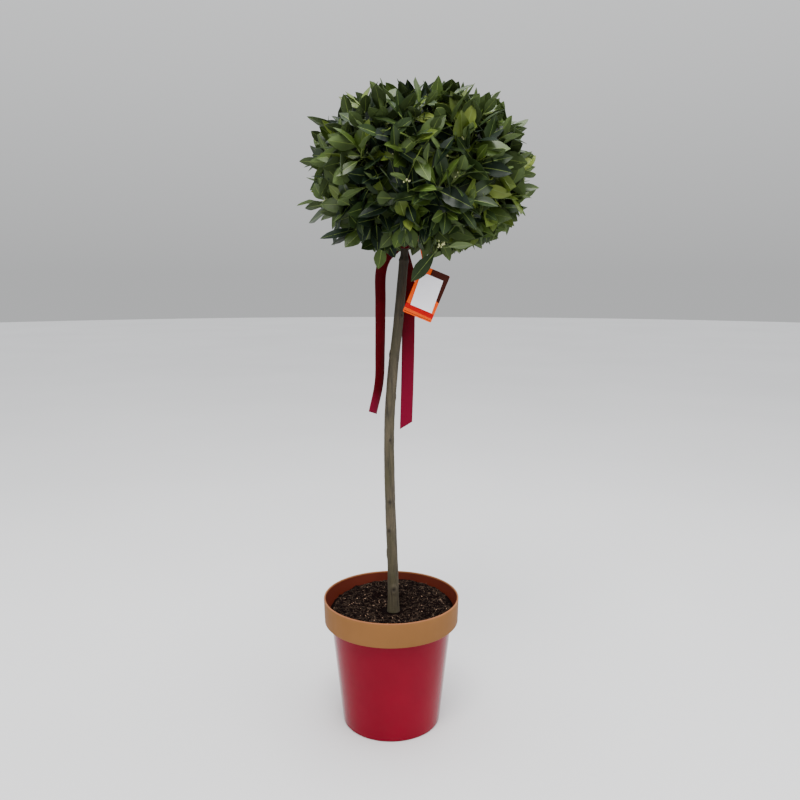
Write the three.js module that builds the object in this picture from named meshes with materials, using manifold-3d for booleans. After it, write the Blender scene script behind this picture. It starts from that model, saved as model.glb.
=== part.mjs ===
// A standard bay tree: one clear stem carrying a round clipped head, growing in a plastic pot with a
// deep collar. A satin ribbon hangs from the top of the stem, and a blank price label from a bough.
// Millimetres. +Z is up, the front is -Y, and the origin is the centre of the pot's flat underside.
import * as THREE from "three";
import { mergeVertices } from "three/addons/utils/BufferGeometryUtils.js";
import Module from "manifold-3d";

const wasm = await Module();
wasm.setup();

// Driving dimensions
const clearance = 0.3;

const potHeight = 240;
const rimRadius = 125;
const collarHeight = 45;
const collarFootRadius = 123.6;
const bodyTopRadius = 111.5;
const baseRadius = 91;
const potWall = 2.5;
const potFloor = 3.5;
const potSides = 40;
const drainHoles = { count: 6, radius: 6, ringRadius: 62, sides: 10 };

const compostBelowRim = 31;
const compostHeight = potHeight - compostBelowRim;
const compostFlatRadius = 18;
// The compost is heaped against the wall at the back.
const compostHeap = { rise: 17, azimuth: 72 };

const trunkFootRadius = 10.5;
const trunkTipRadius = 6.6;
const flareExtra = 1.4;
const flareFade = 14;
const pruningRing = { height: 854, extra: 0.9, spread: 4, narrowing: 1.1 };
const trunkSides = 12;
const trunkSegments = 22;

const crownCentre = new THREE.Vector3(50, 0, 1001);
const crownReach = { side: 192, depth: 184, up: 153, down: 143, roundness: 2.2 };
const branchingPoint = new THREE.Vector3(34, 0, 952);

const leafLength = 72;
const leafWidth = 30;
const leafThickness = 1.1;
const leafRootThickness = 1;
const twigSides = 3;
const twigSegments = 1;
const goldenAngle = Math.PI * (3 - Math.sqrt(5));

const ribbonWidth = 23;
const ribbonThickness = 0.8;
const tailSegments = 16;
const tailSlant = { left: -4, right: 13 };
const tailTurn = { left: radians(33), right: 0 };

const labelWidth = 52;
const labelHeight = 85;
const labelThickness = 0.8;
const stickerWidth = 39;
const stickerHeight = 58;

// Colours and finishes
const finishes = {
  pot: { color: 0x9c1126, roughness: 0.18, metalness: 0 },
  compost: { color: 0x2a1a14, roughness: 1, metalness: 0 },
  bark: { color: 0x6a6048, roughness: 0.85, metalness: 0 },
  leaf: { color: 0x2c4a1d, roughness: 0.4, metalness: 0 },
  ribbon: { color: 0x7c0a20, roughness: 0.3, metalness: 0 },
  labelCard: { color: 0xe8700f, roughness: 0.35, metalness: 0 },
  labelPaper: { color: 0xf2f1f4, roughness: 0.6, metalness: 0 },
};

// Small helpers

function seededRandom(seed) {
  let state = seed >>> 0;
  return () => {
    state = (Math.imul(state, 1664525) + 1013904223) >>> 0;
    return state / 4294967296;
  };
}

function between(random, low, high) {
  return low + (high - low) * random();
}

function direction(azimuth, elevation) {
  const flat = Math.cos(elevation);
  return new THREE.Vector3(flat * Math.cos(azimuth), flat * Math.sin(azimuth), Math.sin(elevation));
}

function radians(degrees) {
  return THREE.MathUtils.degToRad(degrees);
}

function smoothCurve(points) {
  return new THREE.CatmullRomCurve3(points, false, "centripetal");
}

function solidFrom(geometry) {
  const bare = geometry.clone();
  bare.deleteAttribute("normal");
  bare.deleteAttribute("uv");
  const merged = mergeVertices(bare, 1e-4);
  return new wasm.Manifold(
    new wasm.Mesh({
      numProp: 3,
      vertProperties: new Float32Array(merged.attributes.position.array),
      triVerts: new Uint32Array(merged.index.array),
    }),
  );
}

function geometryFrom(solid) {
  const mesh = solid.getMesh();
  const geometry = new THREE.BufferGeometry();
  geometry.setAttribute("position", new THREE.BufferAttribute(mesh.vertProperties, 3));
  geometry.setIndex(new THREE.BufferAttribute(mesh.triVerts, 1));
  const faceted = geometry.toNonIndexed();
  faceted.computeVertexNormals();
  return faceted;
}

function largestBody(solid) {
  return solid.decompose().reduce((best, body) => (body.volume() > best.volume() ? body : best));
}

const plant = new THREE.Group();

function addNode(name, finish, geometry) {
  const mesh = new THREE.Mesh(geometry, new THREE.MeshStandardMaterial(finishes[finish]));
  mesh.name = name;
  plant.add(mesh);
  return mesh;
}

// A tapering limb: a cylinder whose rings are moved onto a curve. radiusAt takes 0 at the foot to 1.
function limbGeometry(curve, radiusAt, sides, segments) {
  const geometry = new THREE.CylinderGeometry(1, 1, 1, sides, segments);
  const frames = curve.computeFrenetFrames(segments);
  const places = geometry.attributes.position;
  for (let i = 0; i < places.count; i++) {
    const along = places.getY(i) + 0.5;
    const ring = Math.round(along * segments);
    const radius = radiusAt(along);
    const point = curve.getPointAt(along);
    point.addScaledVector(frames.normals[ring], places.getX(i) * radius);
    point.addScaledVector(frames.binormals[ring], -places.getZ(i) * radius);
    places.setXYZ(i, point.x, point.y, point.z);
  }
  return geometry;
}

// A flat strip, as wide as it is told at each place, whose face looks along facingAt. Its far end is
// cut at a slant: one edge is this much shorter than the other, on the right if it is above 0.
function stripGeometry(curve, widthAt, thickness, facingAt, segments, slant) {
  const geometry = new THREE.BoxGeometry(1, 1, 1, 1, segments, 1);
  const places = geometry.attributes.position;
  const length = curve.getLength();
  for (let i = 0; i < places.count; i++) {
    const cut = (Math.abs(slant) * (0.5 - Math.sign(slant) * places.getX(i))) / length;
    const along = (places.getY(i) + 0.5) * (1 - cut);
    const tangent = curve.getTangentAt(along);
    const across = new THREE.Vector3().crossVectors(tangent, facingAt(along)).normalize();
    const facing = new THREE.Vector3().crossVectors(across, tangent);
    const point = curve.getPointAt(along);
    point.addScaledVector(across, places.getX(i) * widthAt(along));
    point.addScaledVector(facing, places.getZ(i) * thickness);
    places.setXYZ(i, point.x, point.y, point.z);
  }
  return geometry;
}

function latheSolid(profile, sides) {
  const points = profile.map(([radius, height]) => new THREE.Vector2(radius, height));
  return new THREE.LatheGeometry(points, sides).rotateX(Math.PI / 2);
}

// The pot

// Radius of the pot's inner face at a height: the body's taper, then the flare up to the rim.
function innerRadius(height) {
  const shoulder = potHeight - collarHeight;
  if (height >= shoulder) {
    const share = (height - shoulder) / collarHeight;
    return THREE.MathUtils.lerp(bodyTopRadius - potWall, rimRadius - potWall, share);
  }
  return THREE.MathUtils.lerp(baseRadius, bodyTopRadius, height / shoulder) - potWall;
}

function buildPot() {
  const shoulder = potHeight - collarHeight;
  const grooveTop = potHeight - 7;
  const grooveWidth = 0.8;
  const collarWall = 2;
  const skirtInner = rimRadius - collarWall - 0.4;
  const shell = latheSolid(
    [
      [0, 0],
      [baseRadius - 3, 0],
      [baseRadius, 3],
      [bodyTopRadius, shoulder],
      [skirtInner - grooveWidth, grooveTop],
      [skirtInner, grooveTop],
      [collarFootRadius - collarWall, shoulder + 0.4],
      [collarFootRadius, shoulder],
      [rimRadius, potHeight - 2],
      [rimRadius - 0.8, potHeight],
      [rimRadius - potWall + 0.2, potHeight],
      [bodyTopRadius - potWall, shoulder],
      [baseRadius - potWall, potFloor],
      [0, potFloor],
    ],
    potSides,
  );
  let pot = solidFrom(shell);
  for (let i = 0; i < drainHoles.count; i++) {
    const hole = new THREE.CylinderGeometry(
      drainHoles.radius,
      drainHoles.radius,
      potFloor * 3,
      drainHoles.sides,
    );
    const turn = (i / drainHoles.count) * Math.PI * 2;
    hole.rotateX(Math.PI / 2);
    hole.translate(
      drainHoles.ringRadius * Math.cos(turn),
      drainHoles.ringRadius * Math.sin(turn),
      potFloor / 2,
    );
    pot = pot.subtract(solidFrom(hole));
  }
  addNode("pot", "pot", geometryFrom(pot));
}

function buildCompost() {
  const mound = 2.5;
  const edgeDrop = 1.5;
  const edgeHeight = compostHeight - edgeDrop;
  const shoulder = potHeight - collarHeight;
  const inside = (height) => innerRadius(height) - clearance * 2;
  const bed = latheSolid(
    [
      [0, potFloor + clearance],
      [inside(potFloor) - 1, potFloor + clearance],
      [inside(shoulder) - 0.4, shoulder],
      [inside(edgeHeight) - 0.4, edgeHeight],
      [inside(edgeHeight) - 12, compostHeight - 1],
      [66, compostHeight + mound],
      [compostFlatRadius, compostHeight],
      [0, compostHeight],
    ],
    potSides,
  );
  const places = bed.attributes.position;
  for (let i = 0; i < places.count; i++) {
    const height = places.getZ(i);
    const radius = Math.hypot(places.getX(i), places.getY(i));
    if (height <= shoulder || radius < compostFlatRadius) continue;
    const turn = Math.atan2(places.getY(i), places.getX(i)) - radians(compostHeap.azimuth);
    const heaped = 0.5 + 0.5 * Math.cos(turn);
    const lift = compostHeap.rise * heaped * THREE.MathUtils.smoothstep(radius, compostFlatRadius, 100);
    const spread = inside(height + lift) / inside(height);
    places.setXYZ(i, places.getX(i) * spread, places.getY(i) * spread, height + lift);
  }
  bed.computeVertexNormals();
  addNode("compost", "compost", bed);
}

// The trunk

// It leaves the compost upright, bows a little to the left and then leans right into the head.
const trunkFoot = compostHeight + clearance;
const trunkLine = smoothCurve([
  new THREE.Vector3(4, 0, trunkFoot),
  new THREE.Vector3(3, 1, 290),
  new THREE.Vector3(-2, 3, 430),
  new THREE.Vector3(-3, 2, 560),
  new THREE.Vector3(3, -1, 655),
  new THREE.Vector3(13, -2, 745),
  new THREE.Vector3(22, 0, 844),
  new THREE.Vector3(27, 1, 905),
  new THREE.Vector3(30, 1, 942),
]);
const trunkTip = trunkLine.getPointAt(1);

function trunkRadius(along) {
  const height = trunkLine.getPointAt(along).z;
  const taper = THREE.MathUtils.lerp(trunkFootRadius, trunkTipRadius + pruningRing.narrowing, along);
  const flare = flareExtra * Math.exp(-(height - trunkFoot) / flareFade);
  const fromRing = (height - pruningRing.height) / pruningRing.spread;
  const ring = pruningRing.extra * Math.exp(-fromRing * fromRing);
  const cutBack = pruningRing.narrowing * THREE.MathUtils.smoothstep(fromRing, 0, 2);
  return taper + flare + ring - cutBack;
}

// How far along the trunk's line a height lies.
function trunkShare(height) {
  let low = 0;
  let high = 1;
  for (let i = 0; i < 24; i++) {
    const middle = (low + high) / 2;
    if (trunkLine.getPointAt(middle).z < height) low = middle;
    else high = middle;
  }
  return low;
}

function trunkAt(height) {
  return trunkLine.getPointAt(trunkShare(height));
}

function trunkSolid(extra) {
  const radiusAt = (along) => trunkRadius(along) + extra;
  return solidFrom(limbGeometry(trunkLine, radiusAt, trunkSides, trunkSegments));
}

// The head: its outline, and the share of it that each mass of foliage fills

// Below 1 inside the head's outline, 1 on it.
function crownLevel(point) {
  const rel = point.clone().sub(crownCentre);
  const tall = rel.z > 0 ? crownReach.up : crownReach.down;
  return (
    Math.abs(rel.x / crownReach.side) ** crownReach.roundness +
    Math.abs(rel.y / crownReach.depth) ** crownReach.roundness +
    Math.abs(rel.z / tall) ** crownReach.roundness
  );
}

// Distance from a point inside the head to its outline, along a direction.
function distanceOut(from, heading) {
  let low = 0;
  let high = 400;
  for (let i = 0; i < 24; i++) {
    const middle = (low + high) / 2;
    const reached = from.clone().addScaledVector(heading, middle);
    if (crownLevel(reached) < 1) low = middle;
    else high = middle;
  }
  return low;
}

// Rings of boughs from the lowest up. Each bough carries one mass.
const boughRings = [
  { name: "low", count: 5, elevation: -16, firstAzimuth: -78, leavesTrunkAt: 884, rise: 4 },
  { name: "high", count: 4, elevation: 36, firstAzimuth: -118, leavesTrunkAt: 912, rise: 6 },
];
const boughSides = 6;
const boughSegments = 3;
const boughFootRadius = 4.4;
const boughTipRadius = 3.1;
const boughShare = 0.37;

function planBoughs() {
  const plans = [];
  for (const ring of boughRings) {
    for (let i = 0; i < ring.count; i++) {
      const azimuth = radians(ring.firstAzimuth + (i * 360) / ring.count);
      const heading = direction(azimuth, radians(ring.elevation));
      const foot = trunkAt(ring.leavesTrunkAt + ((i * 2) % ring.count) * ring.rise);
      const tipDistance = distanceOut(branchingPoint, heading) * boughShare;
      const tip = branchingPoint.clone().addScaledVector(heading, tipDistance);
      const elbow = foot.clone().lerp(tip, 0.45);
      elbow.z -= (tip.z - foot.z) * 0.08;
      elbow.addScaledVector(direction(azimuth, radians(20)), 5);
      const name = `${ring.name}_${i + 1}`;
      plans.push({ name, heading, tip, line: smoothCurve([foot, elbow, tip]) });
    }
  }
  const leaderHeading = trunkLine.getTangentAt(1);
  const leaderFoot = trunkTip.clone().addScaledVector(leaderHeading, clearance);
  const leaderLength = distanceOut(branchingPoint, leaderHeading) * boughShare + 8;
  const leaderTip = leaderFoot.clone().addScaledVector(leaderHeading, leaderLength);
  const leaderMiddle = leaderFoot.clone().lerp(leaderTip, 0.6).add(new THREE.Vector3(1, 1.4, 0));
  plans.push({
    name: "top",
    heading: leaderHeading,
    tip: leaderTip,
    line: smoothCurve([leaderFoot, leaderMiddle, leaderTip]),
  });
  return plans;
}

const boughs = planBoughs();

// extra makes a bough thicker all round and longer at its tip, to cut room for it.
function boughSolid(plan, extra) {
  const footRadius = plan.name === "top" ? trunkTipRadius - 1.2 : boughFootRadius;
  const radiusAt = (along) => THREE.MathUtils.lerp(footRadius, boughTipRadius, along) + extra;
  const [foot, middle, tip] = plan.line.points;
  const end = tip.clone().addScaledVector(plan.line.getTangentAt(1), extra);
  const line = smoothCurve([foot, middle, end]);
  return solidFrom(limbGeometry(line, radiusAt, boughSides, boughSegments));
}

function buildLimbs() {
  addNode("trunk", "bark", geometryFrom(trunkSolid(0)));
  let taken = trunkSolid(clearance);
  for (const plan of boughs) {
    const bough = largestBody(boughSolid(plan, 0).subtract(taken));
    addNode(`bough_${plan.name}`, "bark", geometryFrom(bough));
    taken = taken.add(boughSolid(plan, clearance));
  }
}

// Whether a point lies in a bough's share of the head, a margin inside the planes between shares.
function inShare(plan, point, margin) {
  const rel = point.clone().sub(branchingPoint);
  return boughs.every((other) => {
    if (other === plan) return true;
    const across = plan.heading.clone().sub(other.heading);
    return rel.dot(across) / across.length() > margin;
  });
}

function shareAt(point) {
  const rel = point.clone().sub(branchingPoint);
  return boughs.reduce((best, plan) => (rel.dot(plan.heading) > rel.dot(best.heading) ? plan : best));
}

// Foliage

// The clipped head is dense, so each mass has a core, a rounded lump of the head this deep below
// its outline, and the shoots stand out of it. It stays well short of the planes between the
// masses, and only leaves reach up to them.
const coreDepth = 64;
const coreSetBack = 4;
const coreSharpness = 6;
const coreCentreShare = 0.56;
const coreAround = 12;
const coreUpward = 6;
const shareMargin = 0.7;

// A closed surface round a point: each direction's corner lies as far out as reachAlong says.
function roundSolid(centre, reachAlong, around, upward) {
  const geometry = new THREE.SphereGeometry(1, around, upward).rotateX(Math.PI / 2);
  const places = geometry.attributes.position;
  for (let i = 0; i < places.count; i++) {
    const heading = new THREE.Vector3().fromBufferAttribute(places, i).normalize();
    const corner = centre.clone().addScaledVector(heading, reachAlong(heading));
    places.setXYZ(i, corner.x, corner.y, corner.z);
  }
  return solidFrom(geometry);
}

const reachOfBoughs = (way) => distanceOut(branchingPoint, way) * (boughShare + 0.02);
const hollowOfBoughs = roundSolid(branchingPoint, reachOfBoughs, 10, 6);

// Plain rods round the limbs, which keep the cores a few millimetres clear of them.
function rodRound(line, radius) {
  return solidFrom(limbGeometry(line, () => radius, 6, 2));
}

const coreGap = 5;
const throat = rodRound(trunkLine, trunkFootRadius + coreGap);
const boughRods = boughs.map((plan) => rodRound(plan.line, boughFootRadius + coreGap));
const hollowOfLimbs = wasm.Manifold.union([throat, hollowOfBoughs, ...boughRods]);

// One bough's lump of the head. The limits on its reach are the outline and the planes between it
// and its neighbours, and they run smoothly into each other, so that it has no sharp edges.
function coreOf(plan) {
  const outward = distanceOut(branchingPoint, plan.heading) * coreCentreShare;
  const centre = branchingPoint.clone().addScaledVector(plan.heading, outward);
  const planes = boughs
    .filter((other) => other !== plan)
    .map((other) => plan.heading.clone().sub(other.heading).normalize());
  const reachAlong = (way) => {
    const limits = [distanceOut(centre, way) - coreDepth];
    for (const across of planes) {
      const approach = -way.dot(across);
      const room = plan.heading.dot(across) * outward - coreSetBack;
      if (approach > 0) limits.push(room / approach);
    }
    const closeness = limits.reduce((sum, limit) => sum + limit ** -coreSharpness, 0);
    return closeness ** (-1 / coreSharpness);
  };
  return largestBody(roundSolid(centre, reachAlong, coreAround, coreUpward).subtract(hollowOfLimbs));
}

// Shoots end evenly all over the head, but not round the stem underneath.
const shootCount = 97;
const shootDepth = 42;
const lowestShoot = -0.86;
const stemRoom = 34;
// Longer shoots that the shears missed: [azimuth, elevation, reach beyond the outline].
const longShoots = [
  [-14, 23, 20],
  [-10, -3, 24],
  [4, -16, 18],
  [193, -17, 24],
  [200, 4, 12],
  [181, 27, 18],
  [175, 16, 10],
  [-62, -60, 6],
  [-40, 62, 14],
  [60, 66, 8],
];

function shootEnds() {
  const ends = [];
  const random = seededRandom(11);
  for (let k = 0; k < shootCount; k++) {
    const rise = 1 - (2 * (k + 0.5)) / shootCount;
    if (rise < lowestShoot) continue;
    const heading = direction(k * goldenAngle, Math.asin(rise));
    const out = distanceOut(crownCentre, heading) - shootDepth + between(random, -6, 6);
    ends.push({ heading, point: crownCentre.clone().addScaledVector(heading, out), reach: 0 });
  }
  for (const [azimuth, elevation, beyond] of longShoots) {
    const heading = direction(radians(azimuth), radians(elevation));
    const out = distanceOut(crownCentre, heading) - shootDepth + beyond;
    const point = crownCentre.clone().addScaledVector(heading, out);
    ends.push({ heading, point, reach: beyond });
  }
  return ends.filter(({ point }) => {
    const stem = trunkAt(Math.min(point.z, trunkTip.z));
    return point.z > trunkTip.z || Math.hypot(point.x - stem.x, point.y - stem.y) > stemRoom;
  });
}

// A leaf is an octahedron with its six corners moved: two at the root, one above the other, two at
// the edges, one on the midrib and one at the tip. The edges are lifted, so the blade is folded.
function leafGeometry(leaf) {
  const geometry = new THREE.OctahedronGeometry(1);
  const places = geometry.attributes.position;
  const widestAt = 0.45;
  const fold = 0.2;
  const corner = (share, side, lift) => {
    const sag = share * share * leaf.droop * leaf.length;
    const point = leaf.foot.clone();
    point.addScaledVector(leaf.along, share * leaf.length);
    point.addScaledVector(leaf.across, (side * leaf.width) / 2);
    return point.addScaledVector(leaf.up, lift - sag);
  };
  const edgeLift = fold * leaf.width;
  for (let i = 0; i < places.count; i++) {
    const x = places.getX(i);
    const y = places.getY(i);
    const z = places.getZ(i);
    let point;
    if (Math.abs(x) > 0.5) point = corner(widestAt, x, edgeLift);
    else if (y > 0.5) point = corner(widestAt, 0, leafThickness);
    else if (y < -0.5) point = corner(0, 0, -leafRootThickness / 2);
    else if (z < -0.5) point = corner(0, 0, leafRootThickness / 2);
    else point = corner(1, 0, 0);
    places.setXYZ(i, point.x, point.y, point.z);
  }
  return geometry;
}

// Where a limb of the same curve, with this many segments, has its surface at an angle round it.
function outwardFrom(curve, along, turn, segments) {
  const frames = curve.computeFrenetFrames(segments);
  const ring = Math.round(along * segments);
  const outward = frames.normals[ring].clone().multiplyScalar(Math.sin(turn));
  return outward.addScaledVector(frames.binormals[ring], -Math.cos(turn));
}

function leafOn(curve, along, turn, opening, length, droop) {
  const foot = curve.getPointAt(along);
  const axis = curve.getTangentAt(along);
  const outward = outwardFrom(curve, along, turn, twigSegments).projectOnPlane(axis).normalize();
  const heading = outward.clone().multiplyScalar(Math.sin(opening));
  heading.addScaledVector(axis, Math.cos(opening)).normalize();
  const up = axis.clone().multiplyScalar(Math.sin(opening));
  up.addScaledVector(outward, -Math.cos(opening)).normalize();
  const across = new THREE.Vector3().crossVectors(up, heading);
  return { foot, along: heading, up, across, length, width: (length * leafWidth) / leafLength, droop };
}

function budsOn(curve, along, turn) {
  const outward = outwardFrom(curve, along, turn, twigSegments);
  const centre = curve.getPointAt(along).addScaledVector(outward, 3.4);
  const beads = new THREE.OctahedronGeometry(4);
  beads.translate(centre.x, centre.y, centre.z);
  return beads;
}

// The clipped outline isn't quite even, so a leaf may stand out of it by this much.
const unevenness = 4;

// Whether every corner of a piece stays in the share, and inside the head's outline.
function keepsIn(plan, geometry, reach) {
  const places = geometry.attributes.position;
  const corner = new THREE.Vector3();
  for (let i = 0; i < places.count; i++) {
    corner.fromBufferAttribute(places, i);
    if (!inShare(plan, corner, shareMargin)) return false;
    if (crownLevel(corner) > 1 && distancePast(corner) > reach + unevenness) return false;
  }
  return true;
}

function distancePast(point) {
  const heading = point.clone().sub(crownCentre);
  const distance = heading.length();
  return distance - distanceOut(crownCentre, heading.normalize());
}

const sideLeaves = 4;
const leafySpan = 24;
const tipLeafShare = 0.62;
const leafRootDepth = 1.2;
const buddingShare = 0.12;
const stemFootRadius = 3;
const twigFootRadius = 2.4;
const twigTipRadius = 2;

// Leaves stand in three ranks, one to each face of the twig. A leaf that would leave its share, or
// meet a limb or an earlier leaf, is made smaller, then set in another rank, or else left out.
const fits = [1, 0.85, 0.72];
const rankTurn = (Math.PI * 2) / twigSides;
const rankSway = radians(20);
const otherRanks = [0, 1, -1];

function twigGeometry(curve, footRadius) {
  const radiusAt = (along) => THREE.MathUtils.lerp(footRadius, twigTipRadius, along);
  return limbGeometry(curve, radiusAt, twigSides, twigSegments);
}

// One mass of foliage while it grows: its twigs, its leaves, and what it keeps clear of.
class Mass {
  constructor(plan, limbs, seed) {
    this.plan = plan;
    this.limbs = limbs;
    this.random = seededRandom(seed);
    this.core = largestBody(coreOf(plan).subtract(limbs));
    this.twigs = [];
    this.leaves = [];
    this.buds = [];
  }

  // The solid of a piece that keeps to this mass's space, or null.
  fit(geometry, reach) {
    if (!keepsIn(this.plan, geometry, reach)) return null;
    const body = solidFrom(geometry);
    return body.intersect(this.limbs).isEmpty() ? body : null;
  }

  meetsOthers(body, ownTwig) {
    const box = boxOf(body);
    return [...this.twigs, ...this.leaves].some((other) => {
      if (other === ownTwig || !other.box.intersectsBox(box)) return false;
      return !other.body.intersect(body).isEmpty();
    });
  }

  // The stem goes on from the bough's tip, cut back to lie just clear of it.
  addStem(curve, reach) {
    const body = solidFrom(twigGeometry(curve, stemFootRadius));
    const cutBack = body.subtract(boughSolid(this.plan, clearance));
    this.twigs.push({ curve, reach, body: cutBack, box: boxOf(cutBack) });
  }

  addTwig(curve, reach) {
    const body = this.fit(twigGeometry(curve, twigFootRadius), reach);
    if (body) this.twigs.push({ curve, reach, body, box: boxOf(body) });
  }

  addLeaf(twig, along, turn, opening, size) {
    const droop = between(this.random, 0.02, 0.16);
    for (const rank of otherRanks) {
      for (const fit of fits) {
        const turned = turn + rank * rankTurn;
        const leaf = leafOn(twig.curve, along, turned, opening * fit, size * fit, droop);
        const body = this.fit(leafGeometry(leaf), twig.reach);
        if (!body || this.meetsOthers(body, twig)) continue;
        this.leaves.push({ body, box: boxOf(body) });
        return;
      }
    }
  }

  // Side leaves open less towards the tip, and the last leaf goes straight on from the twig.
  addLeaves(twig) {
    const random = this.random;
    const length = twig.curve.getLength();
    const span = leafySpan + twig.reach;
    const firstRank = Math.floor(between(random, 0, twigSides));
    const upright = (firstRank + 0.5) * rankTurn;
    this.addLeaf(twig, 1 - leafRootDepth / length, upright, 0, leafLength * tipLeafShare);
    for (let i = 0; i < sideLeaves; i++) {
      const share = i / (sideLeaves - 1);
      const fromTip = THREE.MathUtils.lerp(span, 3, share);
      const opening = radians(THREE.MathUtils.lerp(74, 46, share) + between(random, -6, 6));
      const size = leafLength * THREE.MathUtils.lerp(1, 0.84, share) * between(random, 0.9, 1.1);
      const turn = (firstRank + i + 0.5) * rankTurn + between(random, -rankSway, rankSway);
      this.addLeaf(twig, 1 - fromTip / length, turn, opening, size);
    }
    if (random() > buddingShare) return;
    const buds = this.fit(budsOn(twig.curve, 0.9, firstRank * rankTurn), twig.reach);
    if (buds) this.buds.push(buds);
  }

  solid() {
    const grown = [...this.twigs, ...this.leaves].map((piece) => piece.body);
    return largestBody(wasm.Manifold.union([this.core, ...grown, ...this.buds]));
  }
}

function boxOf(body) {
  const { min, max } = body.boundingBox();
  return new THREE.Box3(new THREE.Vector3(...min), new THREE.Vector3(...max));
}

function growMass(plan, ends, limbs, seed) {
  const mass = new Mass(plan, limbs, seed);
  const offAxis = ({ point }) => plan.heading.angleTo(point.clone().sub(branchingPoint));
  const [stemEnd, ...others] = ends
    .filter(({ point }) => shareAt(point) === plan && inShare(plan, point, 5))
    .sort((a, b) => offAxis(a) - offAxis(b));
  const onward = plan.line.getTangentAt(1);
  const foot = plan.tip.clone().addScaledVector(onward, clearance);
  const stem = new THREE.LineCurve3(foot, stemEnd.point);
  mass.addStem(stem, stemEnd.reach);
  others.forEach((end, i) => {
    const from = THREE.MathUtils.lerp(0.6, 0.2, i / Math.max(1, others.length - 1));
    mass.addTwig(new THREE.LineCurve3(stem.getPointAt(from), end.point), end.reach);
  });
  mass.twigs.forEach((twig) => mass.addLeaves(twig));
  return mass.solid();
}

// The ribbon: a band round the stem inside the head, a knot behind it, and two hanging tails

const bandHeight = 879;
const bandWidth = 8;

// A short cylinder round the stem at the band's height.
function stemSleeve(width, extra) {
  const low = trunkAt(bandHeight - width / 2);
  const high = trunkAt(bandHeight + width / 2);
  const radius = trunkRadius(trunkShare(bandHeight)) + extra;
  return solidFrom(limbGeometry(new THREE.LineCurve3(low, high), () => radius, trunkSides, 1));
}

const knotCentre = trunkAt(bandHeight).add(new THREE.Vector3(-1, 12, -1));
const knotSize = new THREE.Vector3(7, 3.8, 5.5);

function knotSolid(extra) {
  const knot = new THREE.SphereGeometry(1, 10, 6);
  knot.scale(knotSize.x + extra, knotSize.y + extra, knotSize.z + extra);
  knot.translate(knotCentre.x, knotCentre.y, knotCentre.z);
  return solidFrom(knot);
}

const tailLines = {
  left: [
    knotCentre.clone().add(new THREE.Vector3(-4, 0.5, 0)),
    new THREE.Vector3(4, 12, 869),
    new THREE.Vector3(-9, 8, 859),
    new THREE.Vector3(-17, 3, 834),
    new THREE.Vector3(-18, 1, 780),
    new THREE.Vector3(-19, 0, 700),
    new THREE.Vector3(-21, -1, 640),
    new THREE.Vector3(-33, -3, 583),
  ],
  right: [
    knotCentre.clone().add(new THREE.Vector3(2, 1, -3)),
    new THREE.Vector3(28.5, 15, 846),
    new THREE.Vector3(31, 15, 800),
    new THREE.Vector3(31, 14, 730),
    new THREE.Vector3(29.5, 12, 640),
    new THREE.Vector3(27, 10, 553),
  ],
};

function buildRibbon() {
  const fold = 1;
  const band = stemSleeve(bandWidth, fold + clearance).subtract(trunkSolid(clearance));
  addNode("ribbon_band", "ribbon", geometryFrom(band));
  const bandRoom = stemSleeve(bandWidth * 2, fold + clearance * 2);
  addNode("ribbon_knot", "ribbon", geometryFrom(knotSolid(0).subtract(bandRoom)));
  for (const side of Object.keys(tailLines)) {
    const tail = solidFrom(tailGeometry(side, ribbonWidth, ribbonThickness));
    const hanging = largestBody(tail.subtract(knotSolid(clearance)).subtract(bandRoom));
    addNode(`ribbon_tail_${side}`, "ribbon", geometryFrom(hanging));
  }
}

// A tail starts gathered at the knot, spreads to the full width, and turns a little as it hangs.
// Each tail hangs facing the front, the left one turned partly away.
function tailGeometry(side, width, thickness) {
  const gathered = 0.35;
  const twist = radians(18);
  const widthAt = (along) => width * THREE.MathUtils.lerp(gathered, 1, Math.min(1, along * 8));
  const facingAt = (along) => {
    const turned = tailTurn[side] * THREE.MathUtils.smoothstep(along, 0.05, 0.4);
    return direction(turned + twist * along - Math.PI / 2, 0.02);
  };
  const line = smoothCurve(tailLines[side]);
  return stripGeometry(line, widthAt, thickness, facingAt, tailSegments, tailSlant[side]);
}

// The label: a card that hangs by a strap from the low front bough, with a blank sticker on it

const labelTilt = radians(22.5);
const strapRoom = 3.4;
const labelCentre = new THREE.Vector3(61, -40, 797);

function labelPoint(across, up) {
  const turned = new THREE.Vector3(
    across * Math.cos(labelTilt) + up * Math.sin(labelTilt),
    0,
    up * Math.cos(labelTilt) - across * Math.sin(labelTilt),
  );
  return turned.add(labelCentre);
}

function labelPanel(width, height, thickness, corner) {
  const outline = new THREE.Shape();
  const x = width / 2;
  const y = height / 2;
  outline.moveTo(-x, -y);
  outline.lineTo(x, -y);
  outline.lineTo(x, y);
  outline.lineTo(-x + corner, y);
  outline.lineTo(-x, y - corner);
  outline.closePath();
  const panel = new THREE.ExtrudeGeometry(outline, { depth: thickness, bevelEnabled: false });
  panel.rotateX(Math.PI / 2);
  panel.rotateY(labelTilt);
  return panel;
}

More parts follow.
